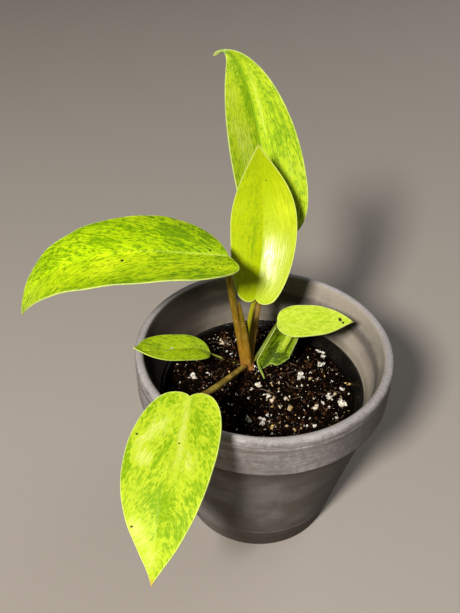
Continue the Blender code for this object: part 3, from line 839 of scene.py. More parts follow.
class SoilSurface:
    """Height of the soil, and the stalks that it stays clear of, sorted into square cells"""
    CELL = 5.0
    REACH = 7.0

    def __init__(self, level):
        self.level = level / MM
        self.cells = {}
        for spot, thick in low_stalk_spots():
            for column in self.cells_round(spot.x):
                for row in self.cells_round(spot.y):
                    self.cells.setdefault((column, row), []).append((spot, thick))

    def cells_round(self, middle):
        return range(int((middle - self.REACH) // self.CELL), int((middle + self.REACH) // self.CELL) + 1)

    def near(self, x, y):
        return self.cells.get((int(x // self.CELL), int(y // self.CELL)), ())

    def height(self, x, y):
        place = Vector((x, y, 0.0))
        mound = MOUND_RISE * math.exp(-((place - CROWN).length / MOUND_SPREAD) ** 2)
        tilt = SOIL_TILT * max(x - CROWN.x, 0.0)
        facing = (1 + math.cos(math.atan2(y, x) - SAG_TOWARDS)) / 2
        sag = SOIL_SAG * facing * (place.length / 50.0) ** 4
        rough = noise.noise(place * 0.22) + 0.5 * noise.noise(place * 0.55)
        height = self.level + mound - tilt - sag + SOIL_ROUGHNESS * rough
        for spot, thick in self.near(x, y):
            away = math.hypot(spot.x - x, spot.y - y)
            if away < thick + 3.0:
                height = min(height, spot.z - thick - 0.9 + max(away - thick, 0.0) * 0.3)
        return height

    def clear(self, spot, reach):
        return all((other - spot).length > thick + reach for other, thick in self.near(spot.x, spot.y))

    def edge(self, angle):
        radius = 49.0
        for _ in range(4):
            height = self.height(radius * math.cos(angle), radius * math.sin(angle))
            radius = liner_inner_radius(height + POT_HEIGHT) - SOIL_GAP
        return radius, height

    def seen_at(self, pixel_x, pixel_y):
        line = sight(pixel_x, pixel_y)
        height = self.level
        for _ in range(4):
            spot = CAMERA + line * ((height - CAMERA.z) / line.z)
            height = self.height(spot.x, spot.y)
        return spot


def make_soil_bed(surface, material):
    rings, sides = 92, 230
    bottom = LINER_FOOT + 1.0 + SOIL_GAP - POT_HEIGHT
    edges = [surface.edge(math.tau * i / sides) for i in range(sides)]

    def place(u, v):
        index = round(u * sides) % sides
        angle = math.tau * index / sides
        row = round(v * (rings + 2))
        radius, height = edges[index]
        if row < rings:
            radius = radius * row / rings
            x, y = radius * math.cos(angle), radius * math.sin(angle)
            spot = Vector((x, y, 0))
            height = surface.height(x, y)
            height += 0.9 * noise.noise(spot * 0.8 + Vector((7, 3, 1))) + 0.6 * noise.noise(spot * 1.9) - 0.25
        if row == rings + 1:
            radius, height = LINER_FOOT_R - 1.4, bottom
        if row == rings + 2:
            radius, height = 0.0, bottom
        return Vector((radius * math.cos(angle), radius * math.sin(angle), height)), ()

    bm = mapped_grid(sides, rings + 2, place)
    tint = bm.verts.layers.float.new("tint")
    for vert in bm.verts:
        vert[tint] = 0.3 + 0.5 * noise.noise(vert.co * 260)
    close_up(bm)
    finished_piece("soil_bed", bm, material, "soil", "soil", sharp=180.0)


def scattered(count, chance, reach=SOIL_REACH):
    # Even random places on the round soil
    for _ in range(count):
        radius = reach * math.sqrt(chance.random())
        angle = chance.uniform(0, math.tau)
        yield radius * math.cos(angle), radius * math.sin(angle)


def turned_about(axes, angles):
    turn = Matrix.Identity(4)
    for axis, angle in zip(axes, angles):
        turn = turn @ Matrix.Rotation(angle, 4, axis)
    return turn


def turned_at_random(chance):
    return turned_about("ZXY", [chance.uniform(0, math.tau) for _ in range(3)])


def shape_between(chance, *ranges):
    # A random length, width and height
    return [chance.uniform(low, high) for low, high in ranges]


class LumpHeap:
    """Many small lumps in one mesh, made in batches because a small mesh is quicker to add to"""
    BATCH = 60

    def __init__(self, chance):
        self.chance = chance
        self.whole = bmesh.new()
        self.whole.verts.layers.float.new("tint")
        self.start_batch()

    def start_batch(self):
        self.part = bmesh.new()
        self.layer = self.part.verts.layers.float.new("tint")
        self.count = 0

    def pour(self):
        mesh = new_mesh("lumps", self.part)
        self.whole.from_mesh(mesh)
        bpy.data.meshes.remove(mesh)
        self.start_batch()

    def add(self, spot, size, shape, turn, tint, faces=1, jitter=0.25, box=False):
        # One crumb, chip or grain: a small round or boxy shape, stretched, turned and made uneven
        middle = metres(spot)
        stretch = Matrix.Diagonal((*(Vector(shape) * size * MM), 1.0))
        matrix = Matrix.Translation(middle) @ turn @ stretch
        if box:
            made = bmesh.ops.create_cube(self.part, size=1.6, matrix=matrix)
        else:
            made = bmesh.ops.create_icosphere(self.part, subdivisions=faces, radius=1.0, matrix=matrix)
        seed = Vector((self.chance.uniform(0, 99), 0, 0))
        for vert in made["verts"]:
            away = vert.co - middle
            vert.co = middle + away * (1 + jitter * 2 * noise.noise(away / (size * MM) * 1.3 + seed))
            vert[self.layer] = tint
        self.count += 1
        if self.count == self.BATCH:
            self.pour()

    def finish(self, name, material, sharp):
        self.pour()
        self.part.free()
        finished_piece(name, self.whole, material, "soil", "soil", sharp)


def make_crumbs(soil, surface, material):
    chance = random.Random(11)
    heap = LumpHeap(chance)
    for x, y in scattered(soil.crumbs, chance):
        size = 0.3 + 1.0 * chance.random() ** 2.4
        spot = Vector((x, y, surface.height(x, y) + size * chance.uniform(-0.1, 0.8)))
        shape = shape_between(chance, (0.8, 1.6), (0.6, 1.1), (0.5, 0.9))
        turn = turned_at_random(chance)
        tint = chance.random() ** 4.5
        if surface.clear(spot, size * 0.8):
            heap.add(spot, size, shape, turn, tint, jitter=0.6)
    path, _, _ = stalk_path("petiole_small_left", 0.3)
    for _ in range(BURYING_CRUMBS):
        # Crumbs that bury the foot of the stalk of the small left leaf
        size = chance.uniform(0.35, 0.75)
        spot = bezier(path, chance.uniform(0.1, 0.62))
        spot += Vector((chance.gauss(0, 0.7), chance.gauss(0, 0.7), 0.9))
        shape = shape_between(chance, (0.8, 1.4), (0.6, 1.1), (0.5, 0.9))
        heap.add(spot, size, shape, turned_at_random(chance), chance.random() ** 2.0, jitter=0.4)
    heap.finish("soil_crumbs", material, sharp=35.0)


def make_chips(soil, surface, material):
    chance = random.Random(23)
    heap = LumpHeap(chance)
    for x, y in scattered(soil.chips, chance):
        size = 0.3 + 0.7 * chance.random() ** 2
        spot = Vector((x, y, surface.height(x, y) + 0.5 * size))
        shape = shape_between(chance, (1.2, 2.8), (0.4, 0.9), (0.25, 0.45))
        turn = turned_about("ZYX", (chance.uniform(0, math.tau), chance.gauss(0, 0.5), chance.gauss(0, 0.5)))
        tint = chance.random() ** 4.0
        if surface.clear(spot, size * shape[0]):
            heap.add(spot, size, shape, turn, tint, jitter=0.3, box=True)
    heap.finish("bark_chips", material, sharp=30.0)


def sight(pixel_x, pixel_y):
    # Direction from the camera through a place in the picture
    right, up, ahead = camera_axes()
    across = (pixel_x - PICTURE[0] / 2) / CAMERA_FOCUS
    above = (PICTURE[1] / 2 - pixel_y) / CAMERA_FOCUS
    return ahead + right * across + up * above


def make_perlite(soil, surface, material):
    chance = random.Random(5)
    heap = LumpHeap(chance)

    def grain(x, y, size, tint, faces):
        shape = shape_between(chance, (0.9, 1.4), (0.75, 1.1), (0.65, 1.0))
        spot = Vector((x, y, surface.height(x, y) + size * 0.8))
        turn = turned_at_random(chance)
        if surface.clear(spot, size):
            heap.add(spot, size, shape, turn, tint, faces, 0.6)

    for pixel_x, pixel_y, size in PERLITE_SEEN:
        spot = surface.seen_at(pixel_x, pixel_y)
        tint = 0.9 if chance.random() < 0.25 else chance.uniform(0, 0.6)
        if size < CLUSTER_SIZE:
            grain(spot.x, spot.y, size * 0.5, tint, 2)
            continue
        for _ in range(CLUSTER_GRAINS):
            x, y = spot.x + chance.gauss(0, 0.28) * size, spot.y + chance.gauss(0, 0.28) * size
            grain(x, y, size * chance.uniform(0.24, 0.42), tint, 2)
    for x, y in scattered(soil.perlite_specks, chance):
        grain(x, y, 0.12 + 0.5 * chance.random() ** 4, 0.95 if chance.random() < 0.4 else 0.3, 1)
    heap.finish("perlite_grains", material, sharp=40.0)


def make_fibres(soil, surface, material):
    chance = random.Random(31)
    whole = bmesh.new()
    tint = whole.verts.layers.float.new("tint")
    for x, y in scattered(soil.fibres, chance, FIBRE_REACH):
        heading = chance.uniform(0, math.tau)
        long = chance.uniform(3.0, 12.0)
        bend = chance.uniform(-1.6, 1.6)
        rise = chance.uniform(0.3, 1.8)
        thick = chance.uniform(0.06, 0.15)
        shade = chance.random()
        points = []
        for i in range(4):
            turn = heading + bend * i / 3
            reach = long * (i / 3 - 0.5)
            px, py = x + reach * math.cos(turn), y + reach * math.sin(turn)
            lift = rise * (0.3, 1.0, 0.9, 0.1)[i] + 0.4
            points.append(Vector((px, py, surface.height(px, py) + lift)))
        if any(math.hypot(p.x, p.y) > FIBRE_LIMIT or not surface.clear(p, 0.5) for p in points):
            continue
        strand = tube(points, rows=9, sides=5, upright=UPWARD,
                      radius=lambda t: thick * (1 - 0.6 * abs(2 * t - 1) ** 3))
        mesh = new_mesh("strand", strand)
        older = len(whole.verts)
        whole.from_mesh(mesh)
        bpy.data.meshes.remove(mesh)
        whole.verts.ensure_lookup_table()
        for vert in whole.verts[older:]:
            vert[tint] = shade
    finished_piece("root_fibres", whole, material, "soil", "soil", sharp=60.0)


# Leaves

def margin(leaf, share):
    # Right edge of the flat leaf: share 0 is the notch at the stalk, 0.5 the widest place, 1 the tip.
    wide, high, drop = leaf.half_width, leaf.widest, leaf.lobe
    if share < 0.5:
        curve = ((0, 0), (0.12 * wide, -1.7 * drop), (1.02 * wide, -1.35 * drop - 0.03), (wide, high))
        t = share * 2
    else:
        curve = ((wide, high), (0.98 * wide, high + leaf.shoulder), (leaf.tip, 0.86), (0, 1))
        t = share * 2 - 1
    return bezier(vectors(curve), t)


def midrib_frame(leaf, y):
    points = leaf.points
    t = min(max(y, 0.0), 1.0)
    along = bezier_direction(points, t)
    side = along.cross(leaf.facing).normalized()
    face = side.cross(along)
    turn = math.radians(leaf.roll + leaf.twist * t)
    spot = bezier(points, t)
    if y < 0.0:
        spot = spot + bezier_direction(points, 0.0) * y * leaf.length
    return (spot, along, side * math.cos(turn) + face * math.sin(turn),
            face * math.cos(turn) - side * math.sin(turn))


def cross_section(distance, fold, curl):
    # The half blade leaves the midrib at the fold angle and turns over by curl degrees a millimetre.
    start, bend = math.radians(fold), math.radians(curl)
    end = start - bend * distance
    if abs(bend) < 1e-6:
        return distance * math.cos(start), distance * math.sin(start)
    return (math.sin(start) - math.sin(end)) / bend, (math.cos(end) - math.cos(start)) / bend


def vein_map(leaf, x, y, reach, sign):
    # Millimetres across and along the veins. They leave the midrib at the leaf's own slope, and fan
    # out of the notch in the lobes; in a narrow leaf they run from the notch to the tip.
    length = leaf.length
    if leaf.veins is None:
        return sign * reach * leaf.half_width * length, y * length
    steep, bend = leaf.veins
    climb = steep * x + bend * x * x
    course = y - climb if y > climb else 0.25 * (max(y / max(climb, 0.02), -2.0) - 1.0)
    grade = math.hypot(1.0, steep)
    return course * length / grade, sign * x * length * grade


def blade_relief(leaf, x, y, left, margin_gap, course, seed):
    # Small rise and fall of the blade, in millimetres: furrowed veins, soft waves, wavy margin
    length = leaf.length
    away = x * length
    inside = smooth_step(0.3, 4.0, margin_gap) * smooth_step(0.5, 4.0, away)
    quilt = leaf.quilt * abs(math.sin(course * math.pi / VEIN_PITCH)) ** 0.7 * inside
    side = -away if left else away
    calm = smooth_step(0.03, 0.25, y) * smooth_step(0.0, 0.16, 1 - y)
    wave = 0.55 * noise.noise(Vector((side * 0.055, y * length * 0.045, seed))) * calm
    frill = 0.75 * noise.noise(Vector((seed, y * length * 0.085, 3.0 * left)))
    frill *= smooth_step(9.0, 0.0, margin_gap) * calm
    channel = -leaf.channel * math.exp(-(away / 0.9) ** 2) * smooth_step(0.0, 0.12, 1 - y)
    arch = -leaf.arch[0 if left else 1] * max(away - 3.0, 0.0) ** 2 * calm
    return quilt + wave + frill + channel + arch


def leaf_place(leaf, across, share, seed):
    edge = margin(leaf, share)
    length = leaf.length
    reach = abs(across)
    centre = 0.9 * share * share + 0.1 * share
    x = edge.x * reach
    y = centre + (edge.y - centre) * reach ** 1.25
    spot, _, side, face = midrib_frame(leaf, y)
    left = across < 0
    fade = min(max(1.0 - y, 0.0), 1.0) ** 0.3
    fold = leaf.fold[0 if left else 1] * fade
    away = x * length
    out, lift = cross_section(away, fold, leaf.curl[0 if left else 1])
    crease = 1.6
    slope = math.sin(math.radians(fold))
    lift += slope * (away * away / (2 * crease) - away if away < crease else -crease / 2)
    margin_gap = math.hypot(edge.x - x, (edge.y - y) * 0.7) * length
    sign = -1.0 if left else 1.0
    from_rib = sign * away + leaf.bow * math.sin(math.pi * min(max(y, 0.0), 1.0))
    veins = vein_map(leaf, abs(from_rib) / length, y, reach, math.copysign(1.0, from_rib))
    lift += blade_relief(leaf, x, y, left, margin_gap, veins[0], seed)
    spot = spot + side * sign * out + face * lift
    return spot, (veins, (from_rib, y * length), (margin_gap, max(1 - y, 0) * length + away * 0.4))


def thickened(bm, thickness, ridge):
    # A blade with a back side; ridge(vert) gives how far the midrib stands out of the back
    push = bm.verts.layers.float_vector.new("push")
    for name in ("swell", "under"):
        bm.verts.layers.float.new(name)
    swell, under = (bm.verts.layers.float[name] for name in ("swell", "under"))
    bm.normal_update()
    for vert in bm.verts:
        vert[push] = vert.normal
        vert[swell] = ridge(vert)
    top = bm.verts[:]
    made = bmesh.ops.extrude_face_region(bm, geom=bm.faces[:], use_keep_orig=True)
    back = [e for e in made["geom"] if isinstance(e, bmesh.types.BMVert)]
    for vert in top:
        vert.co += vert[push] * (thickness * MM / 2)
        vert[under] = 0.0
    for vert in back:
        vert.co -= vert[push] * ((thickness / 2 + vert[swell]) * MM)
        vert[under] = 1.0
    bm.verts.layers.float_vector.remove(push)
    bm.verts.layers.float.remove(bm.verts.layers.float["swell"])
    bmesh.ops.recalc_face_normals(bm, faces=bm.faces)


# What a leaf's own look may leave out, besides the defaults of the pattern
COMMON_LOOK = dict(patches=(), specks=(), dots=(), waxy=(), gloss=0.34, shine=0.35, bump=0.12, channel=0.15,
                   quilt=0.08, bow=0.0, arch=(0.0, 0.0))

# Each leaf: its colours, its pattern, and soft patches that darken or lighten it. A patch has its
# place from the notch, its half width and length in millimetres, its lean and its strength.
LEAF_LOOKS = {
    "leaf_left": dict(
        ground=(0.43, 0.63, 0.002), shade=(0.12, 0.26, 0), light=(0.78, 0.92, 0.012), seed=1.3,
        veins=(1.8, 0.9), shading=0.60, lighting=0.55, dapple=0.7, calm=1.3, gloss=0.42, shine=0.2,
        bow=-1.8, rib_strength=0.6, rib_length=60, scale=1.3, along=0.6, tip_length=3.6,
        tip=(0.62, 0.42, 0.13), specks=((-6.6, 49.3, 1), (2.7, 9.2, 0.9)),
        # The patch at (-10, 50) is painted light on the lower half, which the fold turns from the light
        patches=((-10, 50, 12, 50, 0, 0.12), (0, 98, 20, 22, 0, 0.01), (16, 15, 9, 22, 0, -0.06),
            (12, 55, 8, 12, 0, -0.04))),
    "leaf_tall": dict(
        ground=(0.44, 0.57, 0.012), shade=(0.16, 0.31, 0.002), light=(0.64, 0.72, 0.12), seed=4.1,
        veins=None, shading=0.55, lighting=0.48, dapple=0.8, scale=1.8, along=0.45, gloss=0.48, shine=0.28,
        # The crease colour is painted shade in the fold; the patches at (-2.5, 62) and (10, 55) are painted
        # shade, and the one at (4, 62) is a painted highlight beside the crease
        rib_strength=0, crease=0.85, crease_width=1.7, channel=0.5, quilt=0, tip=(0.60, 0.45, 0.10),
        tip_length=7, patches=((-10, 45, 7, 40, 0, 0.14), (9, 22, 8, 14, 0, 0.04),
            (-2.5, 62, 3, 22, 0, -0.10), (4, 62, 1.6, 22, 0, 0.14), (0, 110, 9, 13, 0, 0.2),
            (10, 55, 6, 25, 0, -0.05))),
    "leaf_young": dict(
        ground=(0.39, 0.48, 0.002), shade=(0.22, 0.34, 0.002), light=(0.56, 0.63, 0.01), seed=7.7,
        veins=None, shading=0.46, lighting=0.47, gloss=0.50, bump=0.04, shine=0.11, dapple=0.4, quilt=0,
        rib_strength=0.1, scale=1.3, along=0.35, arch=(0, 0.005), waxy=((6, 16.5, 9.5, 14, 0, 0.34), ),
        edge=(0.68, 0.73, 0.22), tip=(0.5, 0.42, 0.05), specks=((2.2, 59.5, 0.5), ),
        patches=((-12, 36, 4, 40, 0, 0.02), (-5, 36, 4, 28, 0, -0.10), (9, 40, 8, 45, 0, 0.10))),
    "leaf_drooping": dict(
        ground=(0.43, 0.55, 0.018), shade=(0.17, 0.32, 0), light=(0.61, 0.65, 0.15), seed=9.2,
        veins=(1.4, 1.2), shading=0.53, lighting=0.50, dapple=0.7, gloss=0.5, shine=0.2, quilt=0.02,
        lines=0.03, scale=1.2, along=0.9, calm=0.3, rib_strength=0.32, rib_width=2.4, rib_length=50, bow=5,
        tip=(0.55, 0.36, 0.05), tip_length=6, specks=((22.2, 17.6, 0.7), (0.6, 20.7, 0.6),
            (15.8, 59.3, 0.8), (-5.5, 47, 0.4)), patches=((16.5, 17.5, 4.5, 8, 1, 0.13),
            (18, 27, 7, 5, -0.3, 0.18), (-0.5, 19, 2.5, 16, 0, 0.14), (12, 62, 5, 10, -0.5, 0.15),
            (4, 73, 5, 9, 0, 0.11), (-6, 30, 2.5, 10, -0.3, 0.08), (25, 28, 2, 14, 0, -0.14),
            (8.3, 24, 2.6, 10, 0.45, -0.14), (3, 49, 9, 14, -0.6, -0.12), (-7.4, 12, 5, 9, 0, -0.10),
            (-14, 23, 4, 14, 0, -0.07), (9.4, 2, 7, 3, 0, -0.10), (17, 6, 3, 6, 0, -0.08),
            (-10, 48, 4, 14, 0, -0.05))),
    "leaf_small_left": dict(
        ground=(0.46, 0.64, 0.002), shade=(0.14, 0.26, 0.001), light=(0.80, 0.92, 0.05), seed=12.4,
        veins=(1.6, 1), shading=0.54, lighting=0.54, dapple=0.5, gloss=0.42, shine=0.2, scale=1.2,
        rib_width=0.5, edge=(0.55, 0.68, 0.10), dots=((0.8, 25.7, 0.7), (-2, 30.5, 0.4))),
    "leaf_small_right": dict(
        ground=(0.53, 0.66, 0.05), shade=(0.34, 0.50, 0.012), light=(0.70, 0.80, 0.18), seed=15.8,
        veins=(1.6, 1), shading=0.54, lighting=0.55, dapple=0.7, along=0.8, tip=(0.20, 0.10, 0.06),
        tip_length=3.2, rib_width=0.5, rib_strength=0.06, channel=0.05, specks=((-0.9, 31.4, 1.4),
            (1.1, 33.1, 1))),
    # In the curled leaf the patch at (-2.8, 17), in the nearly black shade colour, is painted shade in the
    # crevice between the rolled edge and the trough
    "leaf_curled": dict(
        ground=(0.17, 0.26, 0.004), shade=(0.02, 0.04, 0.001), light=(0.44, 0.53, 0.04), seed=21,
        shading=0.52, lighting=0.48, dapple=0.3, gloss=0.6, shine=0.12, rib_strength=0,
        edge=(0.42, 0.52, 0.12), patches=((-9, 10, 1.2, 16, 0, 0.12), (3, 7, 2.6, 7, 0, 0.40),
            (-2.8, 17, 2.2, 9, 0, -0.6), (-6, 12, 1.2, 12, 0, -0.14), (3, 17.5, 4.5, 2, 0, -0.5),
            (6.2, 9, 0.9, 8, 0, -0.5), (8.8, 8, 1.2, 12, 0, 0.15), (6, 22, 5, 4, 0, -0.12)),
        specks=((-6.5, 13, 0.7), (-8.5, 18, 0.6))),
}


def shaped_leaf(name):
    leaf = SimpleNamespace(**LEAVES[name])
    leaf.points = vectors(leaf.midrib)
    leaf.length = bezier_length(leaf.points)
    return leaf


def make_leaf(name, plant):
    leaf = shaped_leaf(name)
    look = leaf_look(name, plant)
    for key in ("veins", "channel", "quilt", "bow", "arch"):
        setattr(leaf, key, look[key])
    small = "small" in name
    grid = SMALL_GRID if small else LARGE_GRID
    bm = mapped_grid(*grid, lambda u, v: leaf_place(leaf, 2 * u - 1, v, look["seed"]), LEAF_MAPS)
    flat = bm.loops.layers.uv["flat"]

    def ridge(vert):
        away, up = vert.link_loops[0][flat].uv
        share = min(max(1 - up / leaf.length, 0.0), 1.0)
        size = 0.7 if small else 1.5
        return size * math.exp(-(away / (0.7 * size)) ** 2) * share ** 0.6 * (up >= 0)

    bmesh.ops.remove_doubles(bm, verts=bm.verts, dist=WELD_GAP)
    thickened(bm, plant.blade / MM, ridge)
    finished_piece(name + "_blade", bm, leaf_material(name, look, plant), name, name)


def curled_place(u, v):
    # A trough between its two edges; the left edge runs on as a thin tail to the soil.
    left, right, bed = (ends[0].lerp(ends[1], v) for ends in (CURL_LEFT, CURL_RIGHT, CURL_BED))
    pull = bed * 2 - (left + right) / 2
    spot = left * (1 - u) ** 2 + pull * 2 * u * (1 - u) + right * u * u
    torn = 1.1 * math.sin(u * 14.0) * max(v - 0.7, 0.0) / 0.3
    spot += (CURL_BED[0] - CURL_BED[1]).normalized() * torn
    if u < 0.2 and v > 0.8:
        spot += CURL_TAIL * (1 - u / 0.2) * ((v - 0.8) / 0.2) ** 2
    spot.y += 0.35 * noise.noise(Vector((u * 5, v * 6, 0)))
    side, down = (u - 0.5) * 20, v * 25
    gap = min(min(u, 1 - u) * 20, (1 - v) * 14)
    return spot, ((down - abs(side) * 0.9, side * 1.25), (side, down), (gap, 60.0))


def make_curled_leaf(plant):
    bm = mapped_grid(*CURLED_GRID, curled_place, LEAF_MAPS)
    bmesh.ops.reverse_faces(bm, faces=bm.faces)
    thickened(bm, plant.blade / MM, lambda vert: 0.0)
    material = leaf_material("leaf_curled", leaf_look("leaf_curled", plant), plant)
    finished_piece("leaf_curled_blade", bm, material, "leaf_curled", "leaf_curled")


# Stalks

def stalk_path(name, touch):
    # Control points of a stalk; it ends just behind its leaf, at the notch.
    points, leaf_name, foot, tip = STALKS[name]
    points = vectors(points)
    spot, along, _, face = midrib_frame(shaped_leaf(leaf_name), 0.0)
    meeting = (spot - points[2]).normalized().dot(face)
    reach = BLADE_HALF + touch + tip * math.sqrt(1 - meeting * meeting)
    return points + [spot - face * reach + along * 1.2], foot, tip


def tube(points, rows, sides, radius, upright, flatness=1.0, channel=0.0):
    # A round rod along a curve, closed at both ends; a channel may run down its upright side
    length = bezier_length(points)

    def place(u, v):
        row = round(v * (rows + 2))
        t = min(max((row - 1) / rows, 0.0), 1.0)
        spot = bezier(points, t)
        along = bezier_direction(points, t)
        side = along.cross(upright).normalized()
        face = side.cross(along)
        angle = math.tau * u
        size = 0.0 if row in (0, rows + 2) else radius(t)
        dent = 1 - channel * math.exp(-(min(abs(angle - math.pi / 2), math.pi) / 0.55) ** 2)
        spot = spot + side * size * math.cos(angle) * dent + face * size * flatness * math.sin(angle) * dent
        return spot, ((angle * 2.0, t * length), (t, u))

    bm = mapped_grid(sides, rows + 2, place, ("along", "share"))
    close_up(bm, 0.000003)
    return bm


def make_stalks(plant):
    crown, stalk, tip, young = plant.crown, plant.stalk, plant.stalk_tip, plant.young_stalk
    old = (0.40, 0.25, 0.03)
    colours = {
        "left": (crown, stalk, tip),
        "tall": (crown, (0.37, 0.20, 0.035), (0.30, 0.20, 0.02)),
        "young": (stalk, young, young),
        "drooping": ((0.34, 0.14, 0.04), old, (0.38, 0.29, 0.04)),
        "small_left": (old, (0.20, 0.18, 0.03), (0.24, 0.26, 0.04)),
        "small_right": (old, (0.14, 0.18, 0.02), (0.18, 0.24, 0.02)),
    }
    finishes = {}
    for seed, (key, (low, middle, high)) in enumerate(colours.items(), 1):
        blotches = 0.9 if key == "drooping" else 0.3
        finishes[key] = stalk_material("stalk_" + key, low, middle, high, seed, blotches)
        name = "petiole_" + key
        path, foot, end = stalk_path(name, 0.0)

        def radius(t):
            return (foot + (end - foot) * t ** 0.7) * (1 + 0.12 * smooth_step(0.88, 0.98, t))

        facing = LEAVES[STALKS[name][1]]["facing"]
        bm = tube(path, rows=44, sides=24, radius=radius, upright=facing, flatness=0.94, channel=0.10)
        finished_piece(name, bm, finishes[key], "stalk", "stalks", STALK_SHARP)
    bm = tube(vectors(SHEATH), rows=36, sides=24, radius=lambda t: 2.2 * (1 - t) ** 0.6 + 0.35,
              upright=FORWARD, flatness=0.8, channel=0.08)
    finished_piece("sheath", bm, finishes["left"], "stalk", "stalks", STALK_SHARP)
    levels = [(CROWN + Vector((0, 0, z)), r) for z, r in CROWN_LEVELS]

    def crown_radius(t):
        place = t * (len(levels) - 1)
        index = min(int(place), len(levels) - 2)
        return levels[index][1] + (levels[index + 1][1] - levels[index][1]) * (place - index)

    ends = [levels[0][0], levels[1][0], levels[3][0], levels[4][0]]
    bm = tube(ends, rows=30, sides=32, radius=crown_radius, upright=Vector((0, 1, 0)))
    for vert in bm.verts:
        vert.co += vert.normal * 0.5 * MM * noise.noise(vert.co * 420)
    material = stalk_material("crown_bark", (0.20, 0.08, 0.02), crown, crown, 7.0)
    finished_piece("crown", bm, material, "stalk", "stalks", STALK_SHARP)


# Stage

def camera_axes():
    ahead = Vector((0.0, math.cos(CAMERA_PITCH), -math.sin(CAMERA_PITCH)))
    right = Vector((1.0, 0.0, 0.0))
    up = right.cross(ahead)
    turn_cos, turn_sin = math.cos(CAMERA_ROLL), math.sin(CAMERA_ROLL)
    return right * turn_cos + up * turn_sin, up * turn_cos - right * turn_sin, ahead


def make_camera():
    data = bpy.data.cameras.new("picture_camera")
    data.sensor_width = SENSOR
    data.lens = SENSOR * CAMERA_FOCUS / PICTURE[1]
    data.clip_start, data.clip_end = 0.01, 20.0
    camera = new_object("picture_camera", data)
    right, up, ahead = camera_axes()
    turn = Matrix((right, up, -ahead)).transposed().to_4x4()
    camera.matrix_world = Matrix.Translation(metres(CAMERA)) @ turn
    bpy.context.scene.camera = camera


def make_light(name, spot, size, power, colour):
    data = bpy.data.lights.new(name, "AREA")
    data.shape = "DISK"
    data.size = size
    data.energy = power
    data.color = colour
    light = new_object(name, data)
    light.matrix_world = Matrix.Translation(spot) @ (AIM - spot).to_track_quat("-Z", "Y").to_matrix().to_4x4()


def floor_material(stage):
    material, tree = new_material("studio_floor", 0.8)
    rough, _ = use_group(tree, "grain", size=1.2, seed=1.0)
    colour = mixed(rough, [c * 0.94 for c in stage.floor], stage.floor)
    return finish_material(material, colour, rough, 0.1)


def make_stage(stage):
    bm = bmesh.new()
    bmesh.ops.create_grid(bm, x_segments=2, y_segments=2, size=FLOOR_HALF)
    mesh = new_mesh("studio_floor", bm)
    mesh.materials.append(floor_material(stage))
    floor = new_object("studio_floor", mesh)
    make_light("key_light", KEY_PLACE, KEY_SIZE, stage.key, (1.0, 0.97, 0.92))
    make_light("fill_light", FILL_PLACE, FILL_SIZE, stage.fill, (0.95, 0.97, 1.0))
    world = bpy.data.worlds.new("studio_room")
    world.use_nodes = True
    inputs = world.node_tree.nodes["Background"].inputs
    inputs["Color"].default_value = (1.0, 0.98, 0.95, 1.0)
    inputs["Strength"].default_value = stage.sky
    bpy.context.scene.world = world
    bpy.context.scene.view_settings.view_transform = "Standard"
    make_camera()


# Operators

def settings():
    return bpy.context.scene.potted_plant


class ClayPotMaker(Operator):
    """Makes the grey clay pot"""
    bl_idname = "potted_plant.clay_pot"
    bl_label = "Clay pot"

    def execute(self, context):
        make_clay_pot(settings().pot)
        return {"FINISHED"}


class NurseryPotMaker(Operator):
    """Makes the black nursery pot inside the clay pot"""
    bl_idname = "potted_plant.nursery_pot"
    bl_label = "Nursery pot"

    def execute(self, context):
        make_nursery_pot(settings().pot)
        return {"FINISHED"}


class SoilMaker(Operator):
    """Makes the soil with its crumbs, bark chips, fibres and perlite"""
    bl_idname = "potted_plant.soil"
    bl_label = "Soil"

    def execute(self, context):
        soil = settings().soil
        surface = SoilSurface(soil.level)
        make_soil_bed(surface, soil_material("peat", soil.dark, soil.dark, 0.9, 0.5))
        make_crumbs(soil, surface, soil_material("peat_crumb", soil.dark, soil.warm, 0.7, 0.5))
        make_chips(soil, surface, soil_material("bark", soil.dark, soil.chip, 0.5, 0.4))
        make_fibres(soil, surface, soil_material("fibre", soil.warm, soil.fibre, 0.6, 0.4))
        make_perlite(soil, surface, perlite_material(soil))
        return {"FINISHED"}


class StalkMaker(Operator):
    """Makes the crown, the leaf stalks and the sheath"""
    bl_idname = "potted_plant.stalks"
    bl_label = "Stalks"

    def execute(self, context):
        make_stalks(settings().plant)
        return {"FINISHED"}


class LeafMaker(Operator):
    """Makes the four large and the two small leaves"""
    bl_idname = "potted_plant.leaves"
    bl_label = "Leaves"

    def execute(self, context):
        for name in LEAVES:
            make_leaf(name, settings().plant)
        return {"FINISHED"}


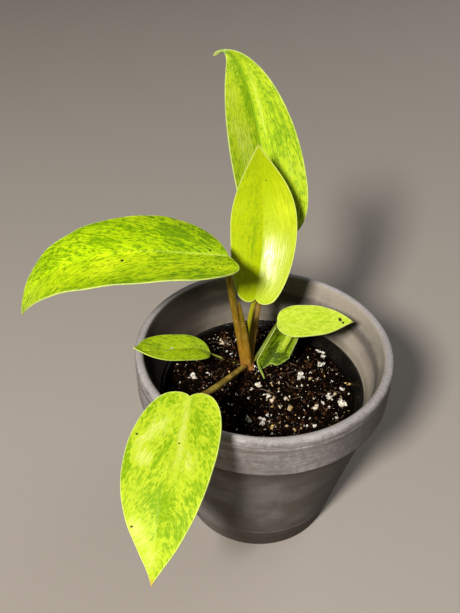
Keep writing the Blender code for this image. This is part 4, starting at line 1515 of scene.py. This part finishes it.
class CurledLeafMaker(Operator):
    """Makes the curled leaf beside the crown"""
    bl_idname = "potted_plant.curled_leaf"
    bl_label = "Curled leaf"

    def execute(self, context):
        make_curled_leaf(settings().plant)
        return {"FINISHED"}


class StageMaker(Operator):
    """Makes the floor, the lights and the camera"""
    bl_idname = "potted_plant.stage"
    bl_label = "Stage"

    def execute(self, context):
        make_stage(settings().stage)
        return {"FINISHED"}


MAKERS = (ClayPotMaker, NurseryPotMaker, SoilMaker, StalkMaker, LeafMaker, CurledLeafMaker, StageMaker)


class AllSettings(PropertyGroup):
    pot: PointerProperty(name="Pots", description="Sizes and colours of both pots", type=PotSettings)
    soil: PointerProperty(name="Soil", description="Sizes and colours of the soil", type=SoilSettings)
    plant: PointerProperty(name="Plant", description="Sizes and colours of the plant", type=PlantSettings)
    stage: PointerProperty(name="Stage", description="Floor and lights", type=StageSettings)


class PlantPanel(Panel):
    """Lists the makers of the potted plant and their settings"""
    bl_idname = "VIEW3D_PT_potted_plant"
    bl_label = "Potted plant"
    bl_space_type = "VIEW_3D"
    bl_region_type = "UI"
    bl_category = "Plant"

    def draw(self, context):
        for maker in MAKERS:
            self.layout.operator(maker.bl_idname)
        groups = context.scene.potted_plant
        for group in (groups.pot, groups.soil, groups.plant, groups.stage):
            box = self.layout.box()
            for key in group.__annotations__:
                box.prop(group, key)


CLASSES = (PotSettings, SoilSettings, PlantSettings, StageSettings, AllSettings, *MAKERS, PlantPanel)


def register():
    for kind in CLASSES:
        bpy.utils.register_class(kind)
    bpy.types.Scene.potted_plant = PointerProperty(type=AllSettings)


def unregister():
    del bpy.types.Scene.potted_plant
    for kind in reversed(CLASSES):
        bpy.utils.unregister_class(kind)


def main():
    register()
    bpy.ops.potted_plant.stage()
    bpy.ops.potted_plant.clay_pot()
    bpy.ops.potted_plant.nursery_pot()
    bpy.ops.potted_plant.soil()
    bpy.ops.potted_plant.stalks()
    bpy.ops.potted_plant.leaves()
    bpy.ops.potted_plant.curled_leaf()


if __name__ == "__main__":
    main()
